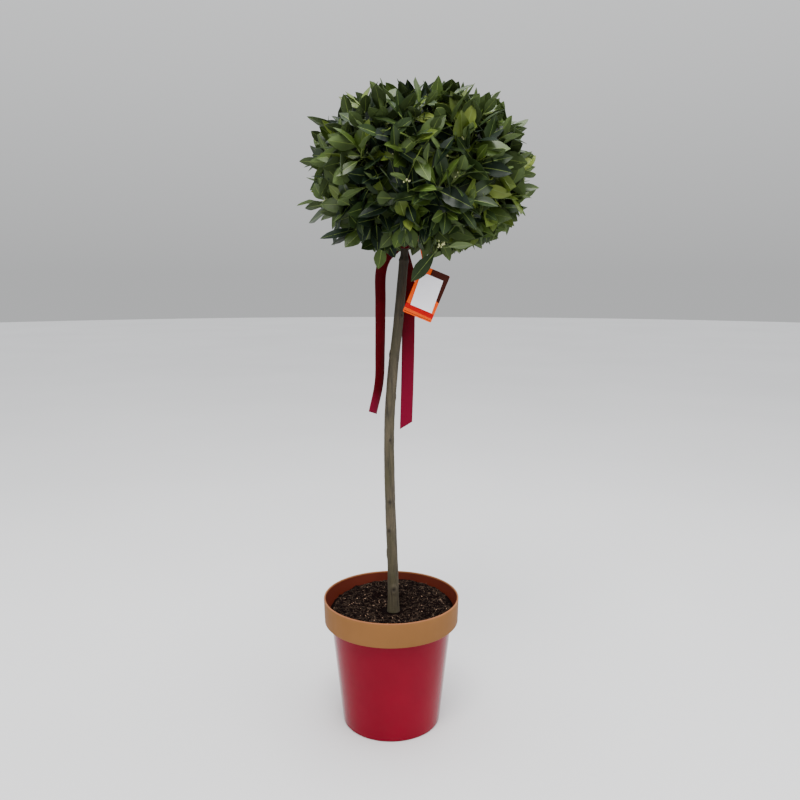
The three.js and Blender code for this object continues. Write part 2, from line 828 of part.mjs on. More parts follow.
function buildLabel() {
  const bough = boughs[0];
  const hookAt = 2 / boughSegments;
  const hook = bough.line.getPointAt(hookAt);
  const around = bough.line.getTangentAt(hookAt);
  const holeRadius = THREE.MathUtils.lerp(boughFootRadius, boughTipRadius, hookAt) + 0.6;
  const eye = new THREE.TorusGeometry(holeRadius + 0.9, 0.8, 6, 16);
  eye.applyQuaternion(
    new THREE.Quaternion().setFromUnitVectors(new THREE.Vector3(0, 0, 1), around),
  );
  eye.translate(hook.x, hook.y, hook.z);
  const card = labelPanel(labelWidth, labelHeight, labelThickness, 3);
  card.translate(labelCentre.x, labelCentre.y, labelCentre.z);
  const down = new THREE.Vector3(0, 0, -1).projectOnPlane(around).normalize();
  const strapTop = hook.clone().addScaledVector(down, holeRadius + 1.1);
  const strapFoot = labelPoint(-labelWidth / 2 + 7, labelHeight / 2 - 3);
  strapFoot.y -= labelThickness / 2;
  const strapLine = smoothCurve([
    strapFoot,
    strapFoot.clone().lerp(strapTop, 0.5).add(new THREE.Vector3(1, 0, 1)),
    strapTop,
  ]);
  const facing = () => new THREE.Vector3(0, -1, 0.1);
  const strap = stripGeometry(strapLine, () => 4, 1.2, facing, 4, 0);
  const whole = wasm.Manifold.union([solidFrom(card), solidFrom(eye), solidFrom(strap)]);
  addNode("label_card", "labelCard", geometryFrom(whole));
  const sticker = labelPanel(stickerWidth, stickerHeight, 0.3, 8);
  const stickerPlace = labelPoint(0, 2);
  sticker.translate(stickerPlace.x, stickerPlace.y - labelThickness - clearance, stickerPlace.z);
  addNode("label_sticker", "labelPaper", sticker);
  return whole.add(rodRound(strapLine, strapRoom));
}

// What the foliage keeps clear of: the limbs, the ribbon and the label, each with some room.
function roomForLimbs(label) {
  const room = 1;
  const taken = [trunkSolid(room), label];
  for (const plan of boughs) taken.push(boughSolid(plan, room - 0.2));
  for (const side of Object.keys(tailLines)) {
    taken.push(solidFrom(tailGeometry(side, ribbonWidth + 4, 6)));
  }
  taken.push(knotSolid(3));
  taken.push(stemSleeve(bandWidth * 2, 3));
  return wasm.Manifold.union(taken);
}

buildPot();
buildCompost();
buildLimbs();
buildRibbon();
const limbRoom = roomForLimbs(buildLabel());
const ends = shootEnds();
boughs.forEach((plan, i) => {
  addNode(`foliage_${plan.name}`, "leaf", geometryFrom(growMass(plan, ends, limbRoom, 101 + i)));
});

export default plant;
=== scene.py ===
# A clipped standard bay tree in a collared pot: bark, leaves, compost, ribbon and label over the solids.
import math

import bmesh
import bpy
import numpy as np
from bpy.props import FloatProperty, FloatVectorProperty, IntProperty, PointerProperty
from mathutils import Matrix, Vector, noise


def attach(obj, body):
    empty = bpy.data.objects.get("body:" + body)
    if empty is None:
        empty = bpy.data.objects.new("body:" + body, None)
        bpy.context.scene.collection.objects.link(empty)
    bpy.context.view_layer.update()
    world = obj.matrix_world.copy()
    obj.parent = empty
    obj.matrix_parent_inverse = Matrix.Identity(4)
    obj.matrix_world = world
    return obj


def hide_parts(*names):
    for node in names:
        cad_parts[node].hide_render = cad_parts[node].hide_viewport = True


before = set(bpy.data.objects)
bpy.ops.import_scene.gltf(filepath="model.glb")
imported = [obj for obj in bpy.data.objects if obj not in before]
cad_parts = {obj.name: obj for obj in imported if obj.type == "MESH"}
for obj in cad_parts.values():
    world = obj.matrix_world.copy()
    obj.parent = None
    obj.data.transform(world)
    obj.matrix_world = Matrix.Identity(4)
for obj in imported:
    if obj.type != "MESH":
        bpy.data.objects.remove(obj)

bl_info = {
    "name": "Potted Standard Bay Tree",
    "version": (1, 0, 0),
    "blender": (4, 5, 0),
    "location": "View3D > Sidebar > Bay Tree",
    "description": "Makes a clipped standard bay tree in a collared pot, piece by piece",
    "category": "Add Mesh",
}

MM = 0.001
FULL_TURN = 2 * math.pi
BODY = "root"
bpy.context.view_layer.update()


def srgb(red, green, blue):
    """Scene-linear colour from the 0 to 255 numbers that a picture program shows."""

    def linear(value):
        share = value / 255
        return share / 12.92 if share <= 0.04045 else ((share + 0.055) / 1.055) ** 2.4

    return (linear(red), linear(green), linear(blue))


def length_property(name, description, default):
    return FloatProperty(
        name=name, description=description, default=default, min=0.0, unit="LENGTH", precision=4
    )


def colour_property(name, description, default):
    return FloatVectorProperty(
        name=name, description=description, default=default, size=3, min=0.0, max=1.0, subtype="COLOR"
    )


def count_property(name, description, default, least=0):
    return IntProperty(name=name, description=description, default=default, min=least)


# Sizes and colours that a user would change


class BayFoliageSettings(bpy.types.PropertyGroup):
    shoots: count_property("Shoots", "Shoots that end evenly over the head", 176, 20)
    leaves: count_property("Leaves per shoot", "Leaves on each shoot", 8, 2)
    leaf_length: length_property("Leaf length", "Length of a full-grown leaf", 68 * MM)
    leaf_width: length_property("Leaf width", "Width of a full-grown leaf", 29 * MM)
    deep: colour_property("Deep green", "Old leaves in the shade of the head", srgb(20, 34, 21))
    dark: colour_property("Dark green", "Most of the leaves", srgb(39, 55, 25))
    mid: colour_property("Mid green", "Leaves of this year", srgb(58, 76, 26))
    fresh: colour_property("Fresh green", "Leaves near the tips", srgb(80, 96, 32))
    young: colour_property("Young green", "The newest leaves", srgb(98, 112, 42))
    underside: colour_property("Underside", "Dull lower face of a leaf", srgb(80, 97, 54))
    midrib: colour_property("Midrib", "Pale rib along a leaf", srgb(112, 130, 66))
    bud: colour_property("Flower bud", "Clusters of round buds", srgb(205, 208, 150))


class BayWoodSettings(bpy.types.PropertyGroup):
    bark: colour_property("Bark", "Sunny side of the stem", srgb(77, 69, 54))
    # Also the colour of the painted shade that darkens the top of the stem under the head.
    bark_shade: colour_property("Bark in cracks", "Cracks and shaded grain", srgb(28, 24, 16))
    scar: colour_property("Pruning scars", "Old knots on the stem", srgb(34, 28, 20))
    relief: length_property("Bark relief", "Depth of the bark's ridges", 0.35 * MM)


class BayPotSettings(bpy.types.PropertyGroup):
    red: colour_property("Pot red", "Glossy body of the pot", srgb(122, 0, 30))
    gold: colour_property("Collar gold", "Satin collar", srgb(128, 88, 50))
    # Painted highlight: the lip is painted paler than the collar, where the rolled lip would catch the
    # light.
    lip: colour_property("Lip", "Rolled lip, pale where it catches the light", srgb(142, 92, 60))
    clay: colour_property("Clay red", "Inside of the pot", srgb(80, 29, 17))
    compost: colour_property("Compost", "Damp potting compost", srgb(16, 7, 6))
    fibre: colour_property("Fibres", "Pale fibres and bark chips", srgb(124, 101, 84))
    chips: count_property("Chips", "Bark chips on the compost", 2300)
    fibres: count_property("Fibres", "Fibres on the compost", 700)
    grit: count_property("Grit", "Pale grit on the compost", 90)
    flakes: count_property("Flakes", "Pale flakes of bark on the compost", 34)


class BayTrimSettings(bpy.types.PropertyGroup):
    ribbon: colour_property("Ribbon", "Crimson satin", srgb(74, 0, 8))
    # Painted highlight: the colour that the tails fade to where the satin would catch the light.
    ribbon_painted_light: colour_property("Lit ribbon", "Where the satin turns to the light", srgb(110, 6, 38))
    ribbon_width: length_property("Ribbon width", "Width of the satin ribbon", 23 * MM)
    card: colour_property("Label card", "Orange card", srgb(230, 80, 0))
    band: colour_property("Label band", "Red band on the card", srgb(184, 0, 10))
    corner: colour_property("Label corner", "Dark corner of the card", srgb(62, 22, 12))
    paper: colour_property("Label sticker", "Blank paper sticker", srgb(252, 250, 255))


class BayTreeSettings(bpy.types.PropertyGroup):
    foliage: PointerProperty(type=BayFoliageSettings)
    wood: PointerProperty(type=BayWoodSettings)
    pot: PointerProperty(type=BayPotSettings)
    trim: PointerProperty(type=BayTrimSettings)


# Random numbers, directions and curves, by the rules that the solids use


class Draw:
    """Seeded random numbers by the rule that the solids use."""

    def __init__(self, seed):
        self.state = seed & 0xFFFFFFFF

    def number(self):
        self.state = (self.state * 1664525 + 1013904223) & 0xFFFFFFFF
        return self.state / 4294967296

    def between(self, low, high):
        return low + (high - low) * self.number()


def vec(x, y, z):
    return np.array((x, y, z), dtype=float)


def mm(*points):
    """Rows of points in metres, given in millimetres."""
    return np.array(points, dtype=float) * MM


def unit(vector):
    return vector / max(np.linalg.norm(vector), 1e-12)


def lerp(low, high, share):
    return low + (high - low) * share


def smooth(value, low, high):
    """0 at low and 1 at high, with an easy start and end between them."""
    share = min(1.0, max(0.0, (value - low) / (high - low)))
    return share * share * (3 - 2 * share)


def direction(azimuth, elevation):
    flat = math.cos(elevation)
    return vec(flat * math.cos(azimuth), flat * math.sin(azimuth), math.sin(elevation))


def turns(count):
    """Angles that stand evenly round a circle."""
    return [FULL_TURN * k / count for k in range(count)]


class Line:
    """A smooth curve through points, centripetal Catmull-Rom, measured by its length."""

    STEPS = 40

    def __init__(self, points):
        self.points = np.array(points, dtype=float)
        ends = 2 * self.points[[0, -1]] - self.points[[1, -2]]
        padded = np.vstack([ends[:1], self.points, ends[1:]])
        spans = [self._span(*padded[i : i + 4]) for i in range(len(self.points) - 1)]
        self.path = np.vstack([*spans, self.points[-1:]])
        steps = np.linalg.norm(np.diff(self.path, axis=0), axis=1)
        self.reach = np.concatenate([[0.0], np.cumsum(steps)])
        self.length = self.reach[-1]

    def _span(self, before, start, end, after):
        steps = ((before, start), (start, end), (end, after))
        first, middle, last = (max(math.sqrt(np.linalg.norm(b - a)), 1e-6) for a, b in steps)
        leave = (start - before) / first - (end - before) / (first + middle) + (end - start) / middle
        arrive = (end - start) / middle - (after - start) / (middle + last) + (after - end) / last
        leave, arrive = leave * middle, arrive * middle
        t = np.linspace(0, 1, self.STEPS, endpoint=False)[:, None]
        square = -3 * start + 3 * end - 2 * leave - arrive
        cube = 2 * start - 2 * end + leave + arrive
        return start + leave * t + square * t**2 + cube * t**3

    def at(self, share):
        place = share * self.length
        return np.array([np.interp(place, self.reach, self.path[:, k]) for k in range(3)])

    def along(self, share):
        step = 0.004
        return unit(self.at(min(1.0, share + step)) - self.at(max(0.0, share - step)))


def side_frames(line, count):
    """Shares and points along a line, with two sideways directions that turn as little as they can."""
    shares = np.linspace(0, 1, count)
    tangents = [line.along(share) for share in shares]
    across = vec(1, 0, 0) if abs(tangents[0][0]) < 0.8 else vec(0, 1, 0)
    sideways = []
    for tangent in tangents:
        across = unit(across - tangent * across.dot(tangent))
        sideways.append((across, np.cross(tangent, across)))
    return shares, [line.at(share) for share in shares], sideways


# The plant's plan, as the solids have it


GAP = 0.3 * MM
POT_HEIGHT = 240 * MM
RIM_RADIUS = 125 * MM
COLLAR_HEIGHT = 45 * MM
SHOULDER_HEIGHT = POT_HEIGHT - COLLAR_HEIGHT
COLLAR_FOOT_RADIUS = 123.6 * MM
BODY_TOP_RADIUS = 111.5 * MM
BASE_RADIUS = 91 * MM
POT_WALL = 2.5 * MM
POT_FLOOR = 3.5 * MM
DRAIN_HOLES = 6
DRAIN_RADIUS = 6 * MM
DRAIN_RING = 62 * MM
COMPOST_HEIGHT = 209 * MM

TRUNK_FOOT = COMPOST_HEIGHT + GAP
TRUNK_FOOT_RADIUS = 10.5 * MM
TRUNK_TIP_RADIUS = 6.6 * MM
TRUNK_LINE = Line(
    mm(
        (4, 0, TRUNK_FOOT / MM),
        (3, 1, 290),
        (-2, 3, 430),
        (-3, 2, 560),
        (3, -1, 655),
        (13, -2, 745),
        (22, 0, 844),
        (27, 1, 905),
        (30, 1, 942),
    )
)
TRUNK_TIP = TRUNK_LINE.at(1)
RING_HEIGHT = 854 * MM
RING_EXTRA = 0.9 * MM
RING_SPREAD = 4 * MM
RING_NARROWING = 1.1 * MM
FLARE_EXTRA = 1.4 * MM
FLARE_FADE = 14 * MM

HEAD_CENTRE = vec(50, 0, 1001) * MM
HEAD_SIDE = 192 * MM
HEAD_DEPTH = 184 * MM
HEAD_UP = 153 * MM
HEAD_DOWN = 143 * MM
HEAD_ROUNDNESS = 2.2
BEYOND_HEAD = 400 * MM
BRANCHING_POINT = vec(34, 0, 952) * MM
BOUGH_RINGS = (
    {"name": "low", "count": 5, "elevation": -16, "first": -78, "leaves_at": 884, "rise": 4},
    {"name": "high", "count": 4, "elevation": 36, "first": -118, "leaves_at": 912, "rise": 6},
)
BOUGH_SHARE = 0.37
BOUGH_ELBOW = 0.45
BOUGH_SAG = 0.08
BOUGH_FOOT_RADIUS = 4.4 * MM
BOUGH_TIP_RADIUS = 3.1 * MM
LEADER_NARROWING = 1.2 * MM
GOLDEN_ANGLE = math.pi * (3 - math.sqrt(5))


def trunk_share(height):
    return float(np.interp(height, TRUNK_LINE.path[:, 2], TRUNK_LINE.reach)) / TRUNK_LINE.length


def trunk_at(height):
    return TRUNK_LINE.at(trunk_share(height))


def trunk_radius(share):
    height = TRUNK_LINE.at(share)[2]
    taper = lerp(TRUNK_FOOT_RADIUS, TRUNK_TIP_RADIUS + RING_NARROWING, share)
    flare = FLARE_EXTRA * math.exp(-(height - TRUNK_FOOT) / FLARE_FADE)
    from_ring = (height - RING_HEIGHT) / RING_SPREAD
    ring = RING_EXTRA * math.exp(-from_ring * from_ring)
    return taper + flare + ring - RING_NARROWING * smooth(from_ring, 0, 2)


def head_level(point):
    """Below 1 inside the head's outline, and 1 on it."""
    rel = point - HEAD_CENTRE
    sizes = (HEAD_SIDE, HEAD_DEPTH, HEAD_UP if rel[2] > 0 else HEAD_DOWN)
    return sum(abs(part / size) ** HEAD_ROUNDNESS for part, size in zip(rel, sizes))


def distance_out(start, heading):
    """How far the head's outline lies from a point inside it, found by halving."""
    low, high = 0.0, BEYOND_HEAD
    for _ in range(24):
        middle = (low + high) / 2
        if head_level(start + heading * middle) < 1:
            low = middle
        else:
            high = middle
    return low


def bough_plan(name, heading, *points):
    return {"name": name, "heading": heading, "line": Line(points)}


def plan_boughs():
    """Name, heading and line of each bough; each carries one mass of foliage."""
    plans = []
    for ring in BOUGH_RINGS:
        count = ring["count"]
        for i in range(count):
            azimuth = math.radians(ring["first"] + i * 360 / count)
            heading = direction(azimuth, math.radians(ring["elevation"]))
            foot = trunk_at((ring["leaves_at"] + ((i * 2) % count) * ring["rise"]) * MM)
            tip = BRANCHING_POINT + heading * distance_out(BRANCHING_POINT, heading) * BOUGH_SHARE
            elbow = lerp(foot, tip, BOUGH_ELBOW)
            elbow[2] -= (tip[2] - foot[2]) * BOUGH_SAG
            elbow += direction(azimuth, math.radians(20)) * 5 * MM
            plans.append(bough_plan(f"{ring['name']}_{i + 1}", heading, foot, elbow, tip))
    heading = TRUNK_LINE.along(1)
    foot = TRUNK_TIP + heading * GAP
    tip = foot + heading * (distance_out(BRANCHING_POINT, heading) * BOUGH_SHARE + 8 * MM)
    middle = lerp(foot, tip, 0.6) + vec(1, 1.4, 0) * MM
    plans.append(bough_plan("top", heading, foot, middle, tip))
    return plans


BOUGHS = plan_boughs()


def bough_radius(plan, share):
    foot = TRUNK_TIP_RADIUS - LEADER_NARROWING if plan["name"] == "top" else BOUGH_FOOT_RADIUS
    return lerp(foot, BOUGH_TIP_RADIUS, share)


# Mesh helpers


class Shape:
    """Points and faces of one piece while it is put together, with a finish for each face."""

    def __init__(self):
        self.points = []
        self.faces = []
        self.finishes = []
        self.count = 0

    def add(self, points, faces, finish=0):
        points = np.asarray(points, dtype=float).reshape(-1, 3)
        self.points.append(points)
        self.faces.extend(tuple(int(i) + self.count for i in face) for face in faces)
        given = finish if hasattr(finish, "__len__") else [finish] * len(faces)
        self.finishes.extend(int(f) for f in given)
        self.count += len(points)

    def build(self, name, materials, rounded_look=True):
        points = np.vstack(self.points)
        return build_mesh(name, points, self.faces, materials, self.finishes, rounded_look)


def build_mesh(name, points, faces, materials, finishes=None, rounded_look=True):
    """A piece with the place of each face's material in finishes, or all of the first one."""
    mesh = bpy.data.meshes.new(name)
    mesh.from_pydata(np.asarray(points).tolist(), [], faces)
    for material in materials:
        mesh.materials.append(material)
    if finishes is not None:
        mesh.polygons.foreach_set("material_index", np.asarray(finishes, dtype=np.int32))
    mesh.polygons.foreach_set("use_smooth", np.full(len(mesh.polygons), rounded_look))
    mesh.update()
    obj = bpy.data.objects.new(name, mesh)
    bpy.context.scene.collection.objects.link(obj)
    return obj


def add_layer(obj, name, values):
    """A number at each of the piece's points, for its finish to read."""
    layer = obj.data.attributes.new(name, "FLOAT", "POINT")
    layer.data.foreach_set("value", np.asarray(values, dtype=np.float32))


def place(obj, slot, *nodes):
    """Ride the piece on the plant and hide the solids that it stands for; its slot is not used."""
    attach(obj, BODY)
    if nodes:
        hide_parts(*nodes)
    return obj


def circle(radius, height, sides):
    return [vec(radius * math.cos(turn), radius * math.sin(turn), height) for turn in turns(sides)]


def quads(rings, sides, start=0, flipped=False, closed=False):
    """Faces between rings of `sides` points each; closed joins the last ring to the first."""
    faces = []
    for ring in range(rings if closed else rings - 1):
        here, there = start + ring * sides, start + (ring + 1) % rings * sides
        for k in range(sides):
            after = (k + 1) % sides
            face = (here + k, here + after, there + after, there + k)
            faces.append((face[0], face[3], face[2], face[1]) if flipped else face)
    return faces


def edge_wall(edge, half, backwards=False):
    """Faces along one edge of a thin sheet whose lower side has the same points, `half` later."""
    pairs = zip(edge[:-1], edge[1:])
    return [(b, a, a + half, b + half) if backwards else (a, b, b + half, a + half) for a, b in pairs]


def tube(line, radius_at, sides, rings, relief=None):
    """A closed limb along a line; relief adds to the radius at an angle and a place along it."""
    shares, points, sideways = side_frames(line, rings)
    verts = []
    for share, point, (across, up) in zip(shares, points, sideways):
        radius = radius_at(share)
        for angle in turns(sides):
            extra = relief(angle, share, point) if relief else 0.0
            verts.append(point + (across * math.cos(angle) + up * math.sin(angle)) * (radius + extra))
    foot, last = len(verts), len(verts) - sides
    faces = quads(rings, sides)
    for k in range(sides):
        after = (k + 1) % sides
        faces += [(foot, after, k), (foot + 1, last + k, last + after)]
    return [*verts, points[0], points[-1]], faces


def turned(profile, sides):
    """A lathe surface from (radius, height) pairs, the first and last on the axis, and its faces' bands."""
    rings = len(profile) - 2
    verts = [vec(0, 0, profile[0][1])]
    for radius, height in profile[1:-1]:
        verts += circle(radius, height, sides)
    last = len(verts)
    verts.append(vec(0, 0, profile[-1][1]))
    faces = [(0, 1 + (k + 1) % sides, 1 + k) for k in range(sides)]
    faces += quads(rings, sides, start=1)
    faces += [(last, last - sides + k, last - sides + (k + 1) % sides) for k in range(sides)]
    return verts, faces, np.repeat(np.arange(rings + 1), sides)


# Material helpers


def set_inputs(node, **values):
    """Set a node's sockets, named with a low line for each space."""
    for socket, value in values.items():
        node.inputs[socket.replace("_", " ")].default_value = value


class Finish:
    """A node material on object coordinates, built a socket at a time."""

    def __init__(self, name, roughness=0.5, **values):
        self.material = bpy.data.materials.new(name)
        self.material.use_nodes = True
        self.tree = self.material.node_tree
        self.shader = self.tree.nodes["Principled BSDF"]
        set_inputs(self.shader, Roughness=roughness, **values)
        self.coordinates = self.tree.nodes.new("ShaderNodeTexCoord")

    def node(self, kind, **settings):
        made = self.tree.nodes.new(kind)
        for key, value in settings.items():
            setattr(made, key, value)
        return made

    def link(self, source, target):
        self.tree.links.new(source, target)

    def place(self, stretch=(1, 1, 1), output="Object"):
        mapping = self.node("ShaderNodeMapping")
        set_inputs(mapping, Scale=stretch)
        self.link(self.coordinates.outputs[output], mapping.inputs["Vector"])
        return mapping.outputs["Vector"]

    def noise(self, scale, detail=3, stretch=(1, 1, 1), rough=0.55):
        made = self.node("ShaderNodeTexNoise")
        set_inputs(made, Scale=scale, Detail=detail, Roughness=rough)
        self.link(self.place(stretch), made.inputs["Vector"])
        return made.outputs["Fac"]

    def layer(self, name):
        """The numbers that a piece carries at its points."""
        return self.node("ShaderNodeAttribute", attribute_name=name).outputs["Fac"]

    def ramp(self, factor, *stops):
        made = self.node("ShaderNodeValToRGB")
        elements = made.color_ramp.elements
        while len(elements) < len(stops):
            elements.new(0.5)
        for element, (position, colour) in zip(elements, stops):
            element.position = position
            element.color = (*colour[:3], 1)
        self.link(factor, made.inputs["Fac"])
        return made.outputs["Color"]

    def tones(self, factor, colour, *stops):
        """A ramp of one colour, from positions and how bright it is there."""
        return self.ramp(factor, *((position, tint(colour, share)) for position, share in stops))

    def range(self, factor, low, high, start=0.3, end=0.7):
        made = self.node("ShaderNodeMapRange")
        set_inputs(made, From_Min=start, From_Max=end, To_Min=low, To_Max=high)
        self.link(factor, made.inputs["Value"])
        return made.outputs["Result"]

    def mix(self, factor, low, high):
        """Two colours mixed: in the node, input 0 is the factor, 6 and 7 the colours, output 2 the mix."""
        made = self.node("ShaderNodeMix", data_type="RGBA")
        self.link(factor, made.inputs[0])
        for socket, value in ((made.inputs[6], low), (made.inputs[7], high)):
            if isinstance(value, bpy.types.NodeSocket):
                self.link(value, socket)
            else:
                socket.default_value = (*value[:3], 1)
        return made.outputs[2]

    def colour(self, socket):
        self.link(socket, self.shader.inputs["Base Color"])

    def dull(self, socket):
        self.link(socket, self.shader.inputs["Roughness"])

    def bump(self, *layers):
        """Each layer is a height socket, its strength and its depth in metres."""
        normal = None
        for height, strength, depth in layers:
            made = self.node("ShaderNodeBump")
            set_inputs(made, Strength=strength, Distance=depth)
            self.link(height, made.inputs["Height"])
            if normal:
                self.link(normal, made.inputs["Normal"])
            normal = made.outputs["Normal"]
        self.link(normal, self.shader.inputs["Normal"])


def tint(colour, share):
    return tuple(min(1.0, channel * share) for channel in colour[:3])


# Heights between which the bark turns from its full colour to a painted shade, the head's shadow on the top
# of the stem.
HEAD_SHADOW_HEIGHTS = (0.62, 0.85)
HEAD_SHADOW_DARKNESS = 0.72
MOSS_SHARES = (0.66, 0.74, 0.5)


def bark_finish(settings):
    finish = Finish("bay_bark", 0.78, Specular_IOR_Level=0.35)
    grain = finish.noise(210, 6, (1, 1, 0.12), 0.65)
    patches = finish.noise(38, 4, (1, 1, 0.45))
    specks = finish.noise(620, 2)
    shade, bark = settings.bark_shade, settings.bark
    moss = tuple(channel * share for channel, share in zip(bark, MOSS_SHARES))
    base = finish.ramp(grain, (0.3, shade), (0.52, bark), (0.78, tint(bark, 1.5)))
    mossy = finish.mix(finish.range(patches, 0.0, 0.75, 0.42, 0.66), base, moss)
    freckled = finish.mix(finish.range(specks, 0.0, 0.8, 0.66, 0.74), mossy, tint(bark, 2.1))
    # Painted shade: the top of the stem is darkened towards the crack colour, for the shadow that the head
    # casts on it.
    split = finish.node("ShaderNodeSeparateXYZ")
    finish.link(finish.place(), split.inputs[0])
    young = finish.range(split.outputs["Z"], 0.0, HEAD_SHADOW_DARKNESS, *HEAD_SHADOW_HEIGHTS)
    head_shaded = finish.mix(young, freckled, shade)
    finish.colour(finish.mix(finish.layer("scar"), head_shaded, settings.scar))
    finish.dull(finish.range(grain, 0.66, 0.9))
    finish.bump((grain, 0.5, 0.5 * MM), (specks, 0.25, 0.2 * MM))
    return finish.material


def leaf_finish(name, colour, roughness, gloss):
    gleam = {"Coat_Weight": gloss, "Coat_Roughness": 0.3, "Specular_IOR_Level": 0.3, "IOR": 1.4}
    finish = Finish(name, roughness, **gleam)
    blotches = finish.noise(26, 3)
    veins = finish.noise(300, 3)
    finish.colour(finish.tones(blotches, colour, (0.3, 0.72), (0.52, 1), (0.72, 1.3)))
    finish.dull(finish.range(blotches, roughness - 0.07, roughness + 0.1))
    finish.bump((veins, 0.22, 0.35 * MM), (blotches, 0.3, 1.5 * MM))
    return finish.material


def foliage_finishes(settings):
    """Five tones of the upper face, two undersides, the rib and the stalk, in their slots' order."""
    under, rib = settings.underside, settings.midrib
    looks = (
        ("leaf_deep", settings.deep, 0.4, 0.06),
        ("leaf_dark", settings.dark, 0.38, 0.08),
        ("leaf_mid", settings.mid, 0.38, 0.08),
        ("leaf_fresh", settings.fresh, 0.4, 0.05),
        ("leaf_young", settings.young, 0.42, 0.05),
        ("leaf_under_dark", tint(under, 0.62), 0.6, 0.0),
        ("leaf_under_pale", under, 0.58, 0.0),
        ("leaf_rib", rib, 0.5, 0.0),
        ("leaf_stalk", tint(rib, 0.75), 0.5, 0.0),
    )
    return [leaf_finish(*look) for look in looks]


# The stem and boughs

# Old pruning scars on the stem: height, angle round it, size.
KNOTS = (
    (420, -92, 5.2),
    (366, -112, 4.4),
    (254, -84, 5.0),
    (535, -80, 3.6),
    (612, 40, 4.2),
    (470, 120, 4.6),
    (690, -150, 3.8),
    (760, -60, 3.4),
    (322, 170, 4.4),
)
KNOT_STEM_RADIUS = 9.5 * MM
KNOT_LIFT = 1.3 * MM
KNOT_TALLNESS = 1.5
KNOT_REACH = 2.4
KNOT_RIM = 0.75
SCAR_SIZE = 0.62
RING_SCAR = 0.55
RING_SCAR_WIDTH = 1.3 * MM
GRAIN_RADIUS = 9 * MM


def grain_height(angle, height):
    """Ridges that run up the stem, between about -1 and 1."""
    around = Vector((math.cos(angle) * GRAIN_RADIUS, math.sin(angle) * GRAIN_RADIUS, height * 0.14))
    fine = Vector((around.x * 900, around.y * 900, height * 130))
    return noise.fractal(around * 420, 0.8, 2.1, 4) * 0.9 + noise.noise(fine) * 0.25


def knot_shape(angle, height):
    """How far a knot lifts the bark, and how dark its scar is."""
    lift, dark = 0.0, 0.0
    for knot_height, degrees, size in KNOTS:
        turn = math.remainder(angle - math.radians(degrees), FULL_TURN) * KNOT_STEM_RADIUS
        rise = (height - knot_height * MM) / KNOT_TALLNESS
        away = math.hypot(turn, rise) / (size * MM)
        if away < KNOT_REACH:
            lift += KNOT_LIFT * math.exp(-((away - KNOT_RIM) ** 2) * 3.0) * min(1.0, away + 0.25)
            dark = max(dark, math.exp(-((away / SCAR_SIZE) ** 2)))
    return lift, dark


def make_trunk(settings):
    """The stem, with a note of how dark the scars are at each point of its bark."""
    scars = []

    def relief(angle, share, point):
        height = point[2]
        lift, dark = knot_shape(angle, height)
        scars.append(max(dark, RING_SCAR * math.exp(-(((height - RING_HEIGHT) / RING_SCAR_WIDTH) ** 2))))
        swell = 0.28 * MM * noise.noise(Vector((1.7, 0.4, height * 24)))
        oval = 0.3 * MM * math.cos(2 * angle + height * 9)
        edge = min(1.0, share * 60, (1 - share) * 60)
        return (grain_height(angle, height) * settings.relief + lift + swell + oval) * edge

    verts, faces = tube(TRUNK_LINE, trunk_radius, 72, 620, relief)
    obj = build_mesh("trunk_bark", verts, faces, [bark_finish(settings)])
    add_layer(obj, "scar", [*scars, 0, 0])
    place(obj, "bark", "trunk")


def make_boughs():
    finish = bpy.data.materials["bay_bark"]

    def relief(angle, share, point):
        spot = Vector(point) * 500 + Vector((math.cos(angle), math.sin(angle), 0))
        return 0.22 * MM * noise.fractal(spot, 0.8, 2.1, 3)

    for plan in BOUGHS:
        rings = int(plan["line"].length / (1.6 * MM))
        verts, faces = tube(plan["line"], lambda share: bough_radius(plan, share), 18, rings, relief)
        obj = build_mesh(f"bark_bough_{plan['name']}", verts, faces, [finish])
        place(obj, "bark", f"bough_{plan['name']}")


# The foliage

LOWEST_SHOOT = -0.9
# In millimetres, how far inside the outline a shoot ends, and how far its last leaves reach past its end.
SHOOT_DEPTH = (32, 60)
LEAF_REACH = 42
# The angle of a shoot's leaves to it in degrees, and their size, at its first leaf and at its tip.
LEAF_OPENING = (72, 26)
LEAF_SIZES = (1.02, 0.7)
BUD_CHANCE = 0.16
SHOOTS_PER_BRANCH = 3
# Radii of the twigs at their foot and tip.
STEM_RADII = (2.9 * MM, 1.3 * MM)
BRANCH_RADII = (2.2 * MM, 1.6 * MM)
SHOOT_RADII = (1.6 * MM, 1.0 * MM)
SPRIG_RADII = (1.8 * MM, 1.0 * MM)
WOODY, GREEN = 0, 1
STEM_ROOM = 26 * MM
LEAF_STEM_ROOM = 13 * MM
BARE_STEM_HALF = 17 * MM
UNEVENNESS = 6 * MM
HIGHEST_TIP = 1148 * MM
UPWARD_BEND = 13 * MM
FORK_BOW = 0.12
STEM_SHOWS_TO = 890 * MM
# The chances up to which a shoot is deep, dark or mid green; above the last one it is fresh green.
TONE_CHANCES = (0.22, 0.58, 0.82)
# Longer shoots that the shears missed: azimuth, elevation, reach beyond the outline.
LONG_SHOOTS = (
    (-14, 23, 14),
    (-10, -3, 14),
    (4, -16, 13),
    (193, -17, 24),
    (200, 4, 12),
    (181, 27, 18),
    (175, 16, 10),
    (-62, -60, 6),
    (-40, 62, 14),
    (60, 66, 1),
    (-2, 44, 12),
)


